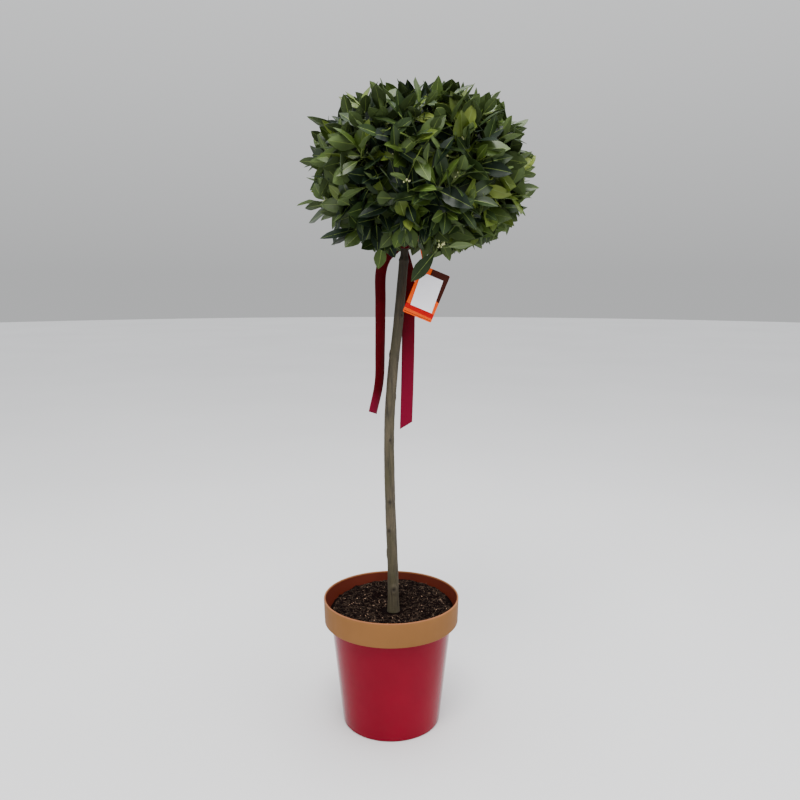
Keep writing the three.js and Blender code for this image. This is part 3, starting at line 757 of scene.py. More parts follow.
def shoot_ends(count):
    """Where shoots end, evenly all over the head, with the longer ones after them."""
    ends = []
    draw = Draw(11)

    def end_shoot(heading, beyond, reach):
        point = HEAD_CENTRE + heading * (distance_out(HEAD_CENTRE, heading) + beyond)
        if clear_of_stem(point, STEM_ROOM):
            ends.append({"point": point, "reach": reach})

    for k in range(count):
        rise = 1 - 2 * (k + 0.5) / count
        if rise >= LOWEST_SHOOT:
            end_shoot(direction(k * GOLDEN_ANGLE, math.asin(rise)), -draw.between(*SHOOT_DEPTH) * MM, 0.0)
    for azimuth, elevation, beyond in LONG_SHOOTS:
        heading = direction(math.radians(azimuth), math.radians(elevation))
        end_shoot(heading, (beyond - LEAF_REACH) * MM, beyond * MM)
    return ends


def clear_of_stem(point, room):
    if point[2] > TRUNK_TIP[2]:
        return True
    stem = trunk_at(point[2])
    return math.hypot(point[0] - stem[0], point[1] - stem[1]) > room


def hides_stem(point):
    """Shears and fingers keep the stem's top bare in front, up to its first leaves."""
    height = STEM_SHOWS_TO - (4 * MM if point[1] < -60 * MM else 0)
    return point[2] < height and point[1] < 0 and abs(point[0] - trunk_at(point[2])[0]) < BARE_STEM_HALF


def bough_of(point):
    rel = point - BRANCHING_POINT
    return max(BOUGHS, key=lambda plan: rel.dot(plan["heading"]))


# Stations along a blade, from its stalk to its tip. Columns across it: the share of its half-width,
# and the side of the rib that a column runs along.
STATIONS = (0.09, 0.24, 0.42, 0.6, 0.77, 0.91)
COLUMNS = ((-1.0, 0.0), (-0.5, 0.0), (0.0, -1.0), (0.0, 1.0), (0.5, 0.0), (1.0, 0.0))
RIB_HALF = 0.7 * MM
RIB_DEPTH = 0.25 * MM
BLADE_THICKNESS = 0.45 * MM
STALK_LENGTH = 7 * MM
STALK_RADIUS = 0.8 * MM
UNDER_DARK, UNDER_PALE, RIB, STALK = 5, 6, 7, 8


def closed_blade():
    """Corners as (station, column share, rib side, face side), and faces with their kind and side."""
    corners, faces = [], []
    width, rows = len(COLUMNS), len(STATIONS)
    for side in (1, -1):
        start = len(corners)
        corners.append((0.0, 0.0, 0.0, side))
        corners += [(station, *column, side) for station in STATIONS for column in COLUMNS]
        corners.append((1.0, 0.0, 0.0, side))
        tip = len(corners) - 1
        for c in range(width - 1):
            kind = "rib" if c == width // 2 - 1 else "blade"
            first = start + 1 + c
            last = first + (rows - 1) * width
            run = [(start, first + 1, first)]
            run += [(a, a + 1, a + 1 + width, a + width) for a in range(first, last, width)]
            run.append((last, last + 1, tip))
            faces += [(face if side < 0 else face[::-1], kind, side) for face in run]
    half = len(corners) // 2
    for first, backwards in ((1, False), (width, True)):
        edge = [0, *range(first, first + rows * width, width), half - 1]
        faces += [(face, "rim", 1) for face in edge_wall(edge, half, backwards)]
    return corners, faces


def blade_points(leaves, corners):
    """Corners of every blade at once: leaves is a dict of arrays, one row to a leaf."""
    t, share, rib, side = np.array(corners).T[:, None, :]
    numbers = ("length", "width", "fold", "wave", "phase", "cup", "bend", "sway")
    length, width, fold, wave, phase, cup, bend, sway = (leaves[key][:, None] for key in numbers)
    base, heading, sideways, up = (leaves[key][:, None, :] for key in ("base", "heading", "across", "up"))
    half = width / 2 * np.sin(np.pi * t**1.1) ** 0.94
    across = share * half + rib * RIB_HALF * (1.15 - t) * (t > 0)
    spread = np.abs(across) / (width / 2)
    lift = fold * np.abs(across)
    lift = lift + wave * np.sin(11 * t + phase + 2 * np.sign(across)) * spread**2
    lift = lift - cup * width * spread**2.5
    keel = np.where(np.abs(rib) + (np.abs(share) < 1e-6) > 0.5, -RIB_DEPTH, 0.0) * (t > 0) * (t < 1)
    lift = lift + side * BLADE_THICKNESS / 2 + keel
    along = length * (t - bend**2 * t**3 * 0.7)
    lift = lift - bend * length * t**2
    across = across + sway * length * t**2
    return base + along[..., None] * heading + across[..., None] * sideways + lift[..., None] * up


class Sprays:
    """The shoots of one mass: its leaves, its twigs and its buds."""

    def __init__(self, plan, seed, settings):
        self.plan = plan
        self.draw = Draw(seed)
        self.settings = settings
        self.leaves = []
        self.twigs = Shape()
        self.buds = Shape()

    def add_twig(self, line, radii, finish):
        rings = max(4, int(line.length / (6 * MM)))
        self.twigs.add(*tube(line, lambda share: lerp(*radii, share), 7, rings), finish)

    def keep_leaf(self, base, heading, up, **form):
        self.leaves.append(
            {"base": base, "heading": heading, "up": up, "across": np.cross(heading, up), **form}
        )

    def add_leaf(self, line, share, turn, opening, size, tone, reach):
        """A leaf of a shoot's spiral, shorter where it wouldn't fit, and left out if it still doesn't."""
        draw = self.draw
        axis = line.along(share)
        side = unit(np.cross(axis, vec(0.31, 0.2, 1)))
        outward = side * math.cos(turn) + np.cross(axis, side) * math.sin(turn)
        length = self.settings.leaf_length * size
        width = self.settings.leaf_width * size * draw.between(0.86, 1.14)
        sag = draw.between(0.0, 0.42) * size
        lean = draw.between(-0.5, 0.5)
        form = {
            "fold": draw.between(0.02, 0.34),
            "wave": draw.between(0.0, 1.6) * MM,
            "phase": draw.between(0, FULL_TURN),
            "bend": draw.between(-0.04, 0.24),
            "sway": draw.between(-0.07, 0.07),
            "cup": draw.between(0.0, 0.05),
            "tone": tone,
            "under": UNDER_PALE if tone > 1 else UNDER_DARK,
        }
        for fit in (1.0, 0.85, 0.7):
            opened = opening * (0.6 + 0.4 * fit)
            heading = unit(outward * math.sin(opened) + axis * math.cos(opened) - vec(0, 0, sag))
            base = line.at(share) + heading * STALK_LENGTH
            tip = base + heading * length * fit
            if self.fits(base, tip, reach):
                facing = axis * math.sin(opened) - outward * math.cos(opened)
                facing = facing + vec(0, 0, 0.6) + unit(tip - HEAD_CENTRE) * 0.55
                up = unit(facing - heading * facing.dot(heading))
                up = unit(up + np.cross(heading, up) * lean)
                self.keep_leaf(base, heading, up, length=length * fit, width=width * fit, **form)
                return

    def lay_leaf(self, root, tip, facing, width, tone, under):
        """One leaf that the eye picks out, from its twig to its tip."""
        root, tip = mm(root, tip)
        facing = vec(*facing)
        heading = unit(tip - root)
        up = unit(facing - heading * facing.dot(heading))
        base = root + heading * STALK_LENGTH
        form = {"fold": 0.12, "wave": 0.8 * MM, "bend": 0.06, "sway": 0.03, "cup": 0.02}
        form |= {"phase": self.draw.between(0, FULL_TURN), "tone": tone, "under": under}
        self.keep_leaf(base, heading, up, length=np.linalg.norm(tip - base), width=width * MM, **form)

    def add_named_sprigs(self):
        bough = self.plan["line"]
        for sprig in NAMED_SPRIGS:
            if sprig["mass"] == self.plan["name"]:
                line = Line([bough.at(1) + bough.along(1) * GAP, *mm(*sprig["twig"])])
                self.add_twig(line, SPRIG_RADII, GREEN)
                for leaf in sprig["leaves"]:
                    self.lay_leaf(*leaf)
                if sprig["buds"]:
                    self.add_buds(line.at(1), line.along(1))
                    self.add_buds(line.at(0.97), line.along(1))

    def fits(self, base, tip, reach):
        """Whether a leaf stays in the clipped outline, and off the stem, the label and the ribbon."""
        if tip[2] > HIGHEST_TIP:
            return False
        if head_level(tip) > 1:
            rel = tip - HEAD_CENTRE
            if np.linalg.norm(rel) - distance_out(HEAD_CENTRE, unit(rel)) > reach + UNEVENNESS:
                return False
        middle = (base + tip) / 2
        return (
            clear_of_stem(middle, LEAF_STEM_ROOM)
            and clear_of_stem(tip, LEAF_STEM_ROOM)
            and not any(hides_stem(point) or near_trim(point) for point in (base, middle, tip))
        )

    def leafy_shoot(self, line, reach, count, span, tone):
        """Leaves in a spiral along the last part of a twig, smaller and closer to it near its tip."""
        draw = self.draw
        turn = draw.between(0, FULL_TURN)
        for i in range(count):
            share = i / (count - 1)
            from_tip = (1 - share) ** 1.2 * span
            opening = math.radians(lerp(*LEAF_OPENING, share**1.6) + draw.between(-9, 9))
            size = lerp(*LEAF_SIZES, share**2) * draw.between(0.8, 1.12)
            turn += GOLDEN_ANGLE + draw.between(-0.3, 0.3)
            lighter = (share > 0.8) + (draw.number() < 0.2) - (draw.number() < 0.25)
            leaf_tone = min(4, max(0, tone + lighter))
            place_on = max(0.02, 1 - from_tip / line.length)
            self.add_leaf(line, place_on, turn, opening, size, leaf_tone, reach)
        if draw.number() < BUD_CHANCE:
            self.add_buds(line.at(0.93), line.along(0.93))

    def add_buds(self, centre, axis):
        draw = self.draw
        for _ in range(int(draw.between(4, 8))):
            away = unit(vec(draw.between(-1, 1), draw.between(-1, 1), draw.between(-0.4, 1)) + axis * 0.4)
            bud = centre + away * draw.between(4, 8) * MM
            self.bead(bud, draw.between(1.3, 2.1) * MM)
            stalk = Line([centre, lerp(centre, bud, 0.5), bud])
            self.twigs.add(*tube(stalk, lambda share: 0.4 * MM, 4, 2), GREEN)

    def bead(self, centre, radius):
        rows = ((0.0, -1.0), (0.78, -0.62), (0.98, 0.2), (0.55, 0.84), (0.0, 1.0))
        verts, faces, _ = turned([(r * radius, h * radius) for r, h in rows], 8)
        self.buds.add(np.array(verts) + centre, faces)

    def grow(self, ends):
        """The mass's stem to its furthest shoot, then branches that each fork into about three shoots."""
        draw, leaves = self.draw, self.settings.leaves
        plan, heading = self.plan, self.plan["heading"]
        onward = plan["line"].along(1)
        foot = plan["line"].at(1) + onward * GAP
        ends = sorted(ends, key=lambda end: -unit(end["point"] - BRANCHING_POINT).dot(heading))
        stem_end = ends[0]
        stem = Line([foot, lerp(foot, stem_end["point"], 0.5) + onward * 6 * MM, stem_end["point"]])
        self.add_twig(stem, STEM_RADII, WOODY)
        self.leafy_shoot(stem, stem_end["reach"], leaves, 96 * MM, 1)
        side = unit(np.cross(heading, vec(0.2, 0.1, 1)))
        over = np.cross(heading, side)

        def around(end):
            rel = end["point"] - BRANCHING_POINT
            return math.atan2(rel.dot(over), rel.dot(side))

        groups = group_by_angle(sorted(ends[1:], key=around), SHOOTS_PER_BRANCH)
        for g, group in enumerate(groups):
            leave = lerp(0.08, 0.5, (g * 0.618) % 1)
            start, onward = stem.at(leave), stem.along(leave)
            centre = sum(end["point"] for end in group) / len(group)
            fork = lerp(start, centre, draw.between(0.42, 0.56)) + onward * 8 * MM
            branch = Line([start, lerp(start, fork, 0.5) + onward * 4 * MM, fork])
            self.add_twig(branch, BRANCH_RADII, WOODY)
            self.leafy_shoot(branch, 0.0, 4, branch.length * 0.85, 0)
            for end in group:
                point = end["point"]
                bow = np.linalg.norm(point - fork) * FORK_BOW
                way = lerp(fork, point, 0.55) + branch.along(1) * bow
                way = way - vec(0, 0, UPWARD_BEND * upward_pull(point))
                way = way + vec(draw.between(-3, 3), draw.between(-3, 3), draw.between(-3, 3)) * MM
                shoot = Line([fork, way, point])
                self.add_twig(shoot, SHOOT_RADII, GREEN)
                self.leafy_shoot(shoot, end["reach"], leaves, shoot.length * 0.96, self.pick_tone())
        self.add_named_sprigs()

    def pick_tone(self):
        chance = self.draw.number()
        return sum(chance >= most for most in TONE_CHANCES)

    def build(self, finishes):
        name = self.plan["name"]
        corners, blade_faces = closed_blade()
        rows = {key: np.array([leaf[key] for leaf in self.leaves]) for key in self.leaves[0]}
        points = blade_points(rows, corners)
        count, size = points.shape[:2]
        faces, slots, rims = [], [], []
        for face, kind, side in blade_faces:
            for leaf, tone, under in zip(range(count), rows["tone"], rows["under"]):
                faces.append(tuple(i + leaf * size for i in face))
                slots.append(RIB if kind == "rib" else tone if side > 0 else under)
                rims.append(kind == "rim")
        shape = Shape()
        shape.add(points, faces, slots)
        for leaf in self.leaves:
            root = leaf["base"] - leaf["heading"] * STALK_LENGTH
            end = leaf["base"] + leaf["heading"] * 2 * MM
            shape.add(*tube(Line([root, (root + end) / 2, end]), lambda share: STALK_RADIUS, 4, 2), STALK)
        obj = shape.build(f"leaves_{name}", finishes)
        sharpen_rims(obj, rims)
        place(obj, "leaf", f"foliage_{name}")
        bark, stalk, bud = (bpy.data.materials[key] for key in ("bay_bark", "leaf_stalk", "flower_bud"))
        place(self.twigs.build(f"twigs_{name}", [bark, stalk]), "bark")
        if self.buds.count:
            place(self.buds.build(f"buds_{name}", [bud]), "leaf")


def upward_pull(point):
    """Shoots turn up to the light: fully at the head's sides and top, hardly below it."""
    rise = unit(point - HEAD_CENTRE)[2]
    return min(1.0, max(0.15, 0.75 + rise))


# Sprigs under the front of the head that the eye picks out: the twig that carries each, and its leaves
# as root, tip, way that the upper face looks, width, tone and underside.
NAMED_SPRIGS = (
    {
        "mass": "low_1",
        "twig": ((64, -72, 905), (82, -80, 878)),
        "buds": True,
        "leaves": (
            ((78, -82, 871), (34, -68, 817), (-0.3, -1, 0.4), 27, 1, UNDER_DARK),
            ((87, -84, 873), (134, -98, 879), (0, 0.6, 1), 22, 3, UNDER_PALE),
            ((88, -84, 886), (130, -106, 939), (-0.4, -1, 0.3), 28, 1, UNDER_PALE),
            ((93, -78, 888), (160, -66, 900), (0, -0.8, 1), 30, 1, UNDER_DARK),
            ((76, -78, 884), (52, -100, 905), (0, -1, 0.5), 24, 2, UNDER_PALE),
        ),
    },
    {
        "mass": "low_1",
        "twig": ((34, -92, 922), (25, -112, 912)),
        "buds": False,
        "leaves": (
            ((25, -112, 913), (-14, -112, 897), (0, -0.7, 1), 24, 1, UNDER_PALE),
            ((24, -112, 911), (8, -112, 871), (-0.2, -1, 0.5), 24, 2, UNDER_PALE),
            ((25, -113, 911), (24, -116, 872), (0, -1, 0.4), 24, 1, UNDER_PALE),
            ((27, -112, 911), (40, -114, 872), (0.2, -1, 0.5), 24, 2, UNDER_PALE),
            ((27, -113, 914), (62, -128, 906), (0, -0.7, 1), 24, 1, UNDER_PALE),
            ((25, -114, 915), (14, -138, 946), (0, -1, 0.4), 24, 3, UNDER_PALE),
        ),
    },
    {
        "mass": "low_5",
        "twig": ((-13, -44, 906), (-11, -50, 886)),
        "buds": False,
        "leaves": (
            ((-12, -50, 886), (-20, -47, 838), (-0.2, -1, 0.1), 22, 2, UNDER_PALE),
            ((-8, -51, 886), (9, -50, 858), (0.4, -1, 0.2), 18, 0, UNDER_DARK),
            ((-13, -51, 888), (-48, -62, 872), (0, -0.8, 0.8), 26, 1, UNDER_PALE),
            ((-12, -50, 889), (-8, -70, 868), (0, -1, 0.5), 22, 1, UNDER_DARK),
        ),
    },
    {
        "mass": "low_5",
        "twig": ((-34, -50, 916), (-50, -58, 903)),
        "buds": False,
        "leaves": (
            ((-40, -56, 908), (-74, -76, 874), (0, -1, 0.7), 28, 2, UNDER_PALE),
            ((-50, -58, 902), (-102, -40, 880), (0, -0.6, 1), 26, 1, UNDER_DARK),
            ((-50, -58, 905), (-116, -70, 890), (0, -0.7, 1), 26, 0, UNDER_DARK),
            ((-48, -58, 904), (-66, -84, 925), (0, -1, 0.4), 26, 1, UNDER_PALE),
        ),
    },
)


def group_by_angle(ends, size):
    count = max(1, round(len(ends) / size))
    return [ends[i * len(ends) // count : (i + 1) * len(ends) // count] for i in range(count)]


def sharpen_rims(obj, rims):
    """Blades shade as two thin faces with a sharp edge, not as a pillow."""
    mesh = obj.data
    is_rim = np.zeros(len(mesh.polygons), dtype=bool)
    is_rim[: len(rims)] = rims
    corners = np.empty(len(mesh.polygons), dtype=np.int32)
    edges = np.empty(len(mesh.loops), dtype=np.int32)
    mesh.polygons.foreach_get("loop_total", corners)
    mesh.loops.foreach_get("edge_index", edges)
    sharp = np.zeros(len(mesh.edges), dtype=bool)
    sharp[edges[np.repeat(is_rim, corners)]] = True
    layer = mesh.attributes.get("sharp_edge") or mesh.attributes.new("sharp_edge", "BOOLEAN", "EDGE")
    layer.data.foreach_set("value", sharp)


# What hangs under the head, which the leaves stay clear of


LABEL_TILT = math.radians(22.5)
LABEL_CENTRE = vec(61, -40, 797) * MM
LABEL_WIDTH = 52 * MM
LABEL_HEIGHT = 85 * MM
LABEL_ROOM = vec(3, 9, 4) * MM
TAIL_ROOM = 14 * MM


def label_place(across, up, out=0.0):
    """A point of the label: across and up its face, and out towards the front."""
    x = across * math.cos(LABEL_TILT) + up * math.sin(LABEL_TILT)
    z = up * math.cos(LABEL_TILT) - across * math.sin(LABEL_TILT)
    return LABEL_CENTRE + vec(x, -out, z)


def near_trim(point):
    """Whether a leaf's point would reach the label or the ribbon's hanging tails."""
    x, y, z = point - LABEL_CENTRE
    across = abs(x * math.cos(LABEL_TILT) - z * math.sin(LABEL_TILT)) - LABEL_WIDTH / 2
    up = abs(x * math.sin(LABEL_TILT) + z * math.cos(LABEL_TILT)) - LABEL_HEIGHT / 2
    if across < LABEL_ROOM[0] and abs(y) < LABEL_ROOM[1] and up < LABEL_ROOM[2]:
        return True
    tails = (tail for points in TAIL_POINTS.values() for tail in points[2:])
    return any(np.linalg.norm(point - tail) < TAIL_ROOM for tail in tails)


# The ribbon

BAND_HEIGHT = 879 * MM
BAND_WIDTH = 8 * MM
KNOT_CENTRE = trunk_at(BAND_HEIGHT) + vec(-1, 12, -1) * MM
KNOT_SIZE = (6.6, 3.4, 5.2)
KNOT_FRONT = -2.2
TAIL_THICKNESS = 0.45 * MM
TAIL_TWIST = math.radians(18)
# How far one corner of each tail's slanted end hangs lower, and on which side.
TAIL_SLANT = {"left": -4 * MM, "right": 13 * MM}
# The share of each tail where its painted highlight begins, and where it is full.
TAIL_PAINTED_LIGHT = {"left": (0.84, 0.98), "right": (0.22, 0.92)}
# How far each tail turns on its axis, and the shares of it where the turn begins and is full.
TAIL_TURN = {"left": math.radians(33), "right": 0}
TAIL_TURNING = (0.02, 0.16)
TAIL_POINTS = {
    "left": np.vstack(
        [
            KNOT_CENTRE + vec(-4, 0.5, 0) * MM,
            mm((4, 12, 869), (-9, 8, 859), (-17, 3, 834), (-18, 1, 780), (-19, 0, 700), (-21, -1, 640)),
            vec(-33, -3, 583) * MM,
        ]
    ),
    "right": np.vstack(
        [
            KNOT_CENTRE + vec(2, 1, -3) * MM,
            mm((28.5, 15, 846), (31, 15, 800), (31, 14, 730), (29.5, 12, 640), (27, 10, 553)),
        ]
    ),
}
# Length of the cloth that one step of its pattern covers.
THREAD_PATTERN = 20 * MM


def satin_finish(settings):
    finish = Finish("ribbon_satin", 0.36, Specular_IOR_Level=0.07, Anisotropic=0.4)
    threads = finish.node("ShaderNodeTexWave", wave_type="BANDS", bands_direction="Y")
    set_inputs(threads, Scale=3.2, Distortion=1.2, Detail=2)
    finish.link(finish.place((1, 100, 1), "UV"), threads.inputs["Vector"])
    cloud = finish.noise(30, 3)
    shaded = finish.tones(cloud, settings.ribbon, (0.3, 0.8), (0.7, 1.2))
    # Painted highlight: along each tail, the satin's colour fades to the lit ribbon colour.
    finish.colour(finish.mix(finish.layer("painted_light"), shaded, settings.ribbon_painted_light))
    finish.dull(finish.range(cloud, 0.3, 0.44))
    finish.bump((threads.outputs["Fac"], 0.12, 0.1 * MM))
    return finish.material


def strip(name, line, finish, width_at, facing_at, dip, slant, painted_light):
    """A flat band of cloth with its own thickness, a UV map and a painted highlight along it."""
    columns, rings = 10, 120
    row = columns + 1
    half = rings * row
    verts, uvs, painted_light_shares, faces = [], [], [], []
    for side in (1, -1):
        for share in np.linspace(0, 1, rings):
            tangent = line.along(share)
            across = unit(np.cross(tangent, facing_at(share)))
            facing = np.cross(across, tangent)
            for c in range(row):
                offset = c / columns - 0.5
                here = share * (1 - abs(slant) * (0.5 - offset * math.copysign(1, slant)) / line.length)
                point = line.at(here) + across * offset * width_at(share)
                verts.append(point + facing * (dip(share, offset) + side * TAIL_THICKNESS / 2))
                uvs.append((offset + 0.5, share * line.length / THREAD_PATTERN))
                painted_light_shares.append(smooth(share, *painted_light))
    for start in (0, half):
        for r in range(rings - 1):
            for a in range(start + r * row, start + r * row + columns):
                face = (a, a + 1, a + row + 1, a + row)
                faces.append(face[::-1] if start else face)
    last = half - row
    faces += edge_wall(range(0, half, row), half) + edge_wall(range(columns, half, row), half, True)
    for c in range(columns):
        faces += edge_wall((c, c + 1), half, True) + edge_wall((last + c, last + c + 1), half)
    obj = build_mesh(name, verts, faces, [finish])
    layer = obj.data.uv_layers.new(name="UVMap")
    for loop in obj.data.loops:
        layer.data[loop.index].uv = uvs[loop.vertex_index]
    add_layer(obj, "painted_light", painted_light_shares)
    return obj


def make_ribbon(settings):
    finish = satin_finish(settings)

    def width_at(share):
        return settings.ribbon_width * lerp(0.35, 1, min(1, share * 8))

    def dip(share, offset):
        """Pleats at the knot, and a shallow bow across the cloth that comes and goes along it."""
        pleats = math.cos(offset * 5 * math.pi) * 0.9 * (1 - min(1, share * 7))
        bow = (0.25 - offset * offset) * (1.6 + math.sin(share * 21) * 0.8)
        return (pleats + bow) * MM

    for side, points in TAIL_POINTS.items():

        def facing_at(share):
            turn = TAIL_TURN[side] * smooth(share, *TAIL_TURNING) + TAIL_TWIST * share
            return direction(turn - math.pi / 2, 0.02)

        look = (TAIL_SLANT[side], TAIL_PAINTED_LIGHT[side])
        obj = strip(f"satin_tail_{side}", Line(points), finish, width_at, facing_at, dip, *look)
        place(obj, "ribbon_satin", f"ribbon_tail_{side}")
    make_band(finish)
    make_knot(finish)


def make_band(finish):
    """Two turns of folded ribbon round the stem."""
    centre = trunk_at(BAND_HEIGHT)
    radius = trunk_radius(trunk_share(BAND_HEIGHT)) + 1.0 * MM
    sides, folds = 48, 7
    heights = [(f / folds - 0.5) * BAND_WIDTH for f in range(folds + 1)]
    verts = []
    for angle in turns(sides):
        way, slope = direction(angle, 0), 1.2 * MM * math.sin(angle)
        for f, height in enumerate(heights):
            pleat = 0.35 * MM * math.cos(f * 2.6 + angle * 0.6)
            verts.append(centre + way * (radius + pleat) + vec(0, 0, height + slope))
        for height in reversed(heights):
            verts.append(centre + way * (radius - 0.75 * MM) + vec(0, 0, height + slope))
    faces = quads(sides, 2 * len(heights), flipped=True, closed=True)
    place(build_mesh("satin_band", verts, faces, [finish]), "ribbon_satin", "ribbon_band")


def make_knot(finish):
    """A soft knot behind the stem: a pleated wrap round its middle."""
    rows, sides = 18, 36
    wide, deep, tall = KNOT_SIZE
    verts = []
    for r in range(rows + 1):
        lat = math.pi * r / rows - math.pi / 2
        for lon in turns(sides):
            pleat = 1 + 0.07 * math.cos(6 * lat + 2 * math.sin(lon)) + 0.05 * math.sin(3 * lon)
            x = wide * math.cos(lat) * math.cos(lon) * pleat
            y = deep * math.cos(lat) * math.sin(lon) * pleat
            z = tall * math.sin(lat) * (1 + 0.08 * math.cos(2 * lon))
            verts.append(KNOT_CENTRE + vec(x, max(y, KNOT_FRONT), z) * MM)
    obj = build_mesh("satin_knot", verts, quads(rows + 1, sides), [finish])
    rework(obj, merge_doubles)
    place(obj, "ribbon_satin", "ribbon_knot")


def rework(obj, change, *values):
    """Change a piece's mesh by its points, edges and faces."""
    work = bmesh.new()
    work.from_mesh(obj.data)
    change(work, *values)
    work.to_mesh(obj.data)
    work.free()


def merge_doubles(work):
    bmesh.ops.remove_doubles(work, verts=work.verts, dist=1e-6)
    bmesh.ops.recalc_face_normals(work, faces=work.faces)


def mark_sharp(work, angle):
    for edge in work.edges:
        edge.smooth = len(edge.link_faces) != 2 or edge.calc_face_angle(0.0) < angle


# The label


LABEL_THICKNESS = 0.8 * MM
INK_DEPTH = 0.04 * MM
# The plain areas of ink on the card in millimetres, across and up from its lower left corner: the slot of
# their colour and their corners.
CARD_INK = (
    (1, ((0, 8.5), (52, 6.5), (52, 14.5), (0, 17))),
    (2, ((1, 2.2), (51, 2.2), (51, 3.0), (1, 3.0))),
    (2, ((20, 71), (52, 71), (52, 83), (50, 85), (20, 85))),
    (2, ((43, 38.5), (52, 35.5), (52, 71), (43, 71))),
)
STICKER_OUTLINE = ((-18, -27), (21, -27), (18, 31), (-11.5, 31), (-21, 23))
STICKER_RAISED = 0.55 * MM
STICKER_THICKNESS = 0.3 * MM
HOOK_SHARE = 2 / 3
EYE_PLAY = 0.6 * MM
EYE_WIRE = 0.8 * MM


def card_finish(name, colour):
    finish = Finish(name, 0.35, Specular_IOR_Level=0.12)
    ink = finish.noise(240, 3)
    finish.colour(finish.tones(ink, colour, (0.3, 0.9), (0.7, 1.08)))
    finish.bump((finish.noise(60, 2), 0.2, 0.8 * MM))
    return finish.material


def paper_finish(settings):
    finish = Finish("label_paper", 0.62)
    pulp = finish.noise(900, 4)
    finish.colour(finish.tones(pulp, settings.paper, (0.3, 0.93), (0.7, 1)))
    finish.bump((pulp, 0.15, 0.1 * MM), (finish.noise(45, 2), 0.25, 0.8 * MM))
    return finish.material


def panel(shape, outline, out, depth, finish):
    """A thin plate with the outline's corners, its front face `out` in front of the label's back."""
    count = len(outline)
    verts = [label_place(x, y, front) for front in (out, out - depth) for x, y in outline]
    faces = [tuple(range(count)), tuple(range(2 * count - 1, count - 1, -1))]
    faces += [(i, i + count, (i + 1) % count + count, (i + 1) % count) for i in range(count)]
    shape.add(verts, faces, finish)


def rounded_card(half_x, half_y, radius, steps=5):
    x, y = half_x - radius, half_y - radius
    outline = []
    for corner_x, corner_y, start in ((x, -y, -90), (x, y, 0), (-x, y, 90), (-x, -y, 180)):
        for step in range(steps + 1):
            angle = math.radians(start + 90 * step / steps)
            outline.append((corner_x + radius * math.cos(angle), corner_y + radius * math.sin(angle)))
    return outline


def make_label(settings):
    half_x, half_y = LABEL_WIDTH / 2, LABEL_HEIGHT / 2
    card = Shape()
    panel(card, rounded_card(half_x, half_y, 2 * MM), LABEL_THICKNESS, LABEL_THICKNESS, 0)
    for slot, corners in CARD_INK:
        outline = [(x * MM - half_x, y * MM - half_y) for x, y in corners]
        panel(card, outline, LABEL_THICKNESS + INK_DEPTH, INK_DEPTH, slot)
    bough = BOUGHS[0]["line"]
    hook, around = bough.at(HOOK_SHARE), bough.along(HOOK_SHARE)
    hole = bough_radius(BOUGHS[0], HOOK_SHARE) + EYE_PLAY
    add_eye(card, hook, around, hole + 0.9 * MM)
    top = hook + unit(vec(0, 0, -1) + around * around[2]) * (hole + 1.1 * MM)
    foot = label_place(-half_x + 7 * MM, half_y - 3 * MM, LABEL_THICKNESS / 2)
    add_strap(card, Line([foot, (foot + top) / 2 + vec(1, 0, 1) * MM, top]), 4 * MM, 1.0 * MM)
    inks = {"orange": settings.card, "red": settings.band, "maroon": settings.corner}
    finishes = [card_finish(f"label_{name}", colour) for name, colour in inks.items()]
    obj = card.build("price_card", finishes, rounded_look=False)
    place(obj, "label_card", "label_card")
    sticker = Shape()
    outline = [(x * MM, y * MM) for x, y in STICKER_OUTLINE]
    panel(sticker, outline, LABEL_THICKNESS + STICKER_RAISED, STICKER_THICKNESS, 0)
    obj = sticker.build("price_sticker", [paper_finish(settings)], rounded_look=False)
    place(obj, "label_paper", "label_sticker")


def add_eye(shape, centre, axis, radius):
    """The card's round eye, open round the bough that it hangs on."""
    across = unit(np.cross(axis, vec(0, 0, 1)))
    over = np.cross(axis, across)
    steps, sides = 24, 8
    verts = []
    for turn in turns(steps):
        away = across * math.cos(turn) + over * math.sin(turn)
        point = centre + away * radius
        for angle in turns(sides):
            verts.append(point + (away * math.cos(angle) + axis * math.sin(angle)) * EYE_WIRE)
    shape.add(verts, quads(steps, sides, flipped=True, closed=True))


def add_strap(shape, line, width, thickness):
    rings = 16
    verts = []
    for share in np.linspace(0, 1, rings):
        across = unit(np.cross(line.along(share), vec(0, -1, 0.1)))
        facing = np.cross(across, line.along(share))
        for x, y in ((-1, -1), (1, -1), (1, 1), (-1, 1)):
            verts.append(line.at(share) + across * x * width / 2 + facing * y * thickness / 2)
    last = len(verts) - 4
    shape.add(verts, [(3, 2, 1, 0), *quads(rings, 4), (last, last + 1, last + 2, last + 3)])


# The pot and its compost


def plastic_finish(name, colour, roughness, coat, streak):
    gleam = {"Coat_Weight": coat, "Coat_Roughness": 0.04, "Coat_IOR": 1.3}
    finish = Finish(name, roughness, Specular_IOR_Level=0.2, IOR=1.3, **gleam)
    cloud = finish.noise(9, 3)
    flow = finish.noise(60, 4, (1, 1, 0.08))
    scuffs = finish.noise(420, 2, (1, 1, 0.35))
    shaded = finish.tones(cloud, colour, (0.3, 0.9), (0.7, 1.08))
    finish.colour(finish.mix(finish.range(scuffs, 0.0, 0.25, 0.7, 0.78), shaded, tint(colour, 1.7)))
    finish.dull(finish.range(flow, roughness, roughness + streak))
    finish.bump((cloud, 0.15, 2 * MM), (flow, 0.08, 0.3 * MM))
    return finish.material


RED, GOLD, CLAY, LIP_HIGHLIGHT = 0, 1, 2, 3
FOOT_ROUNDING = 3 * MM
SKIRT_WALL = 2 * MM
LIP_WIDTH = 3 * MM


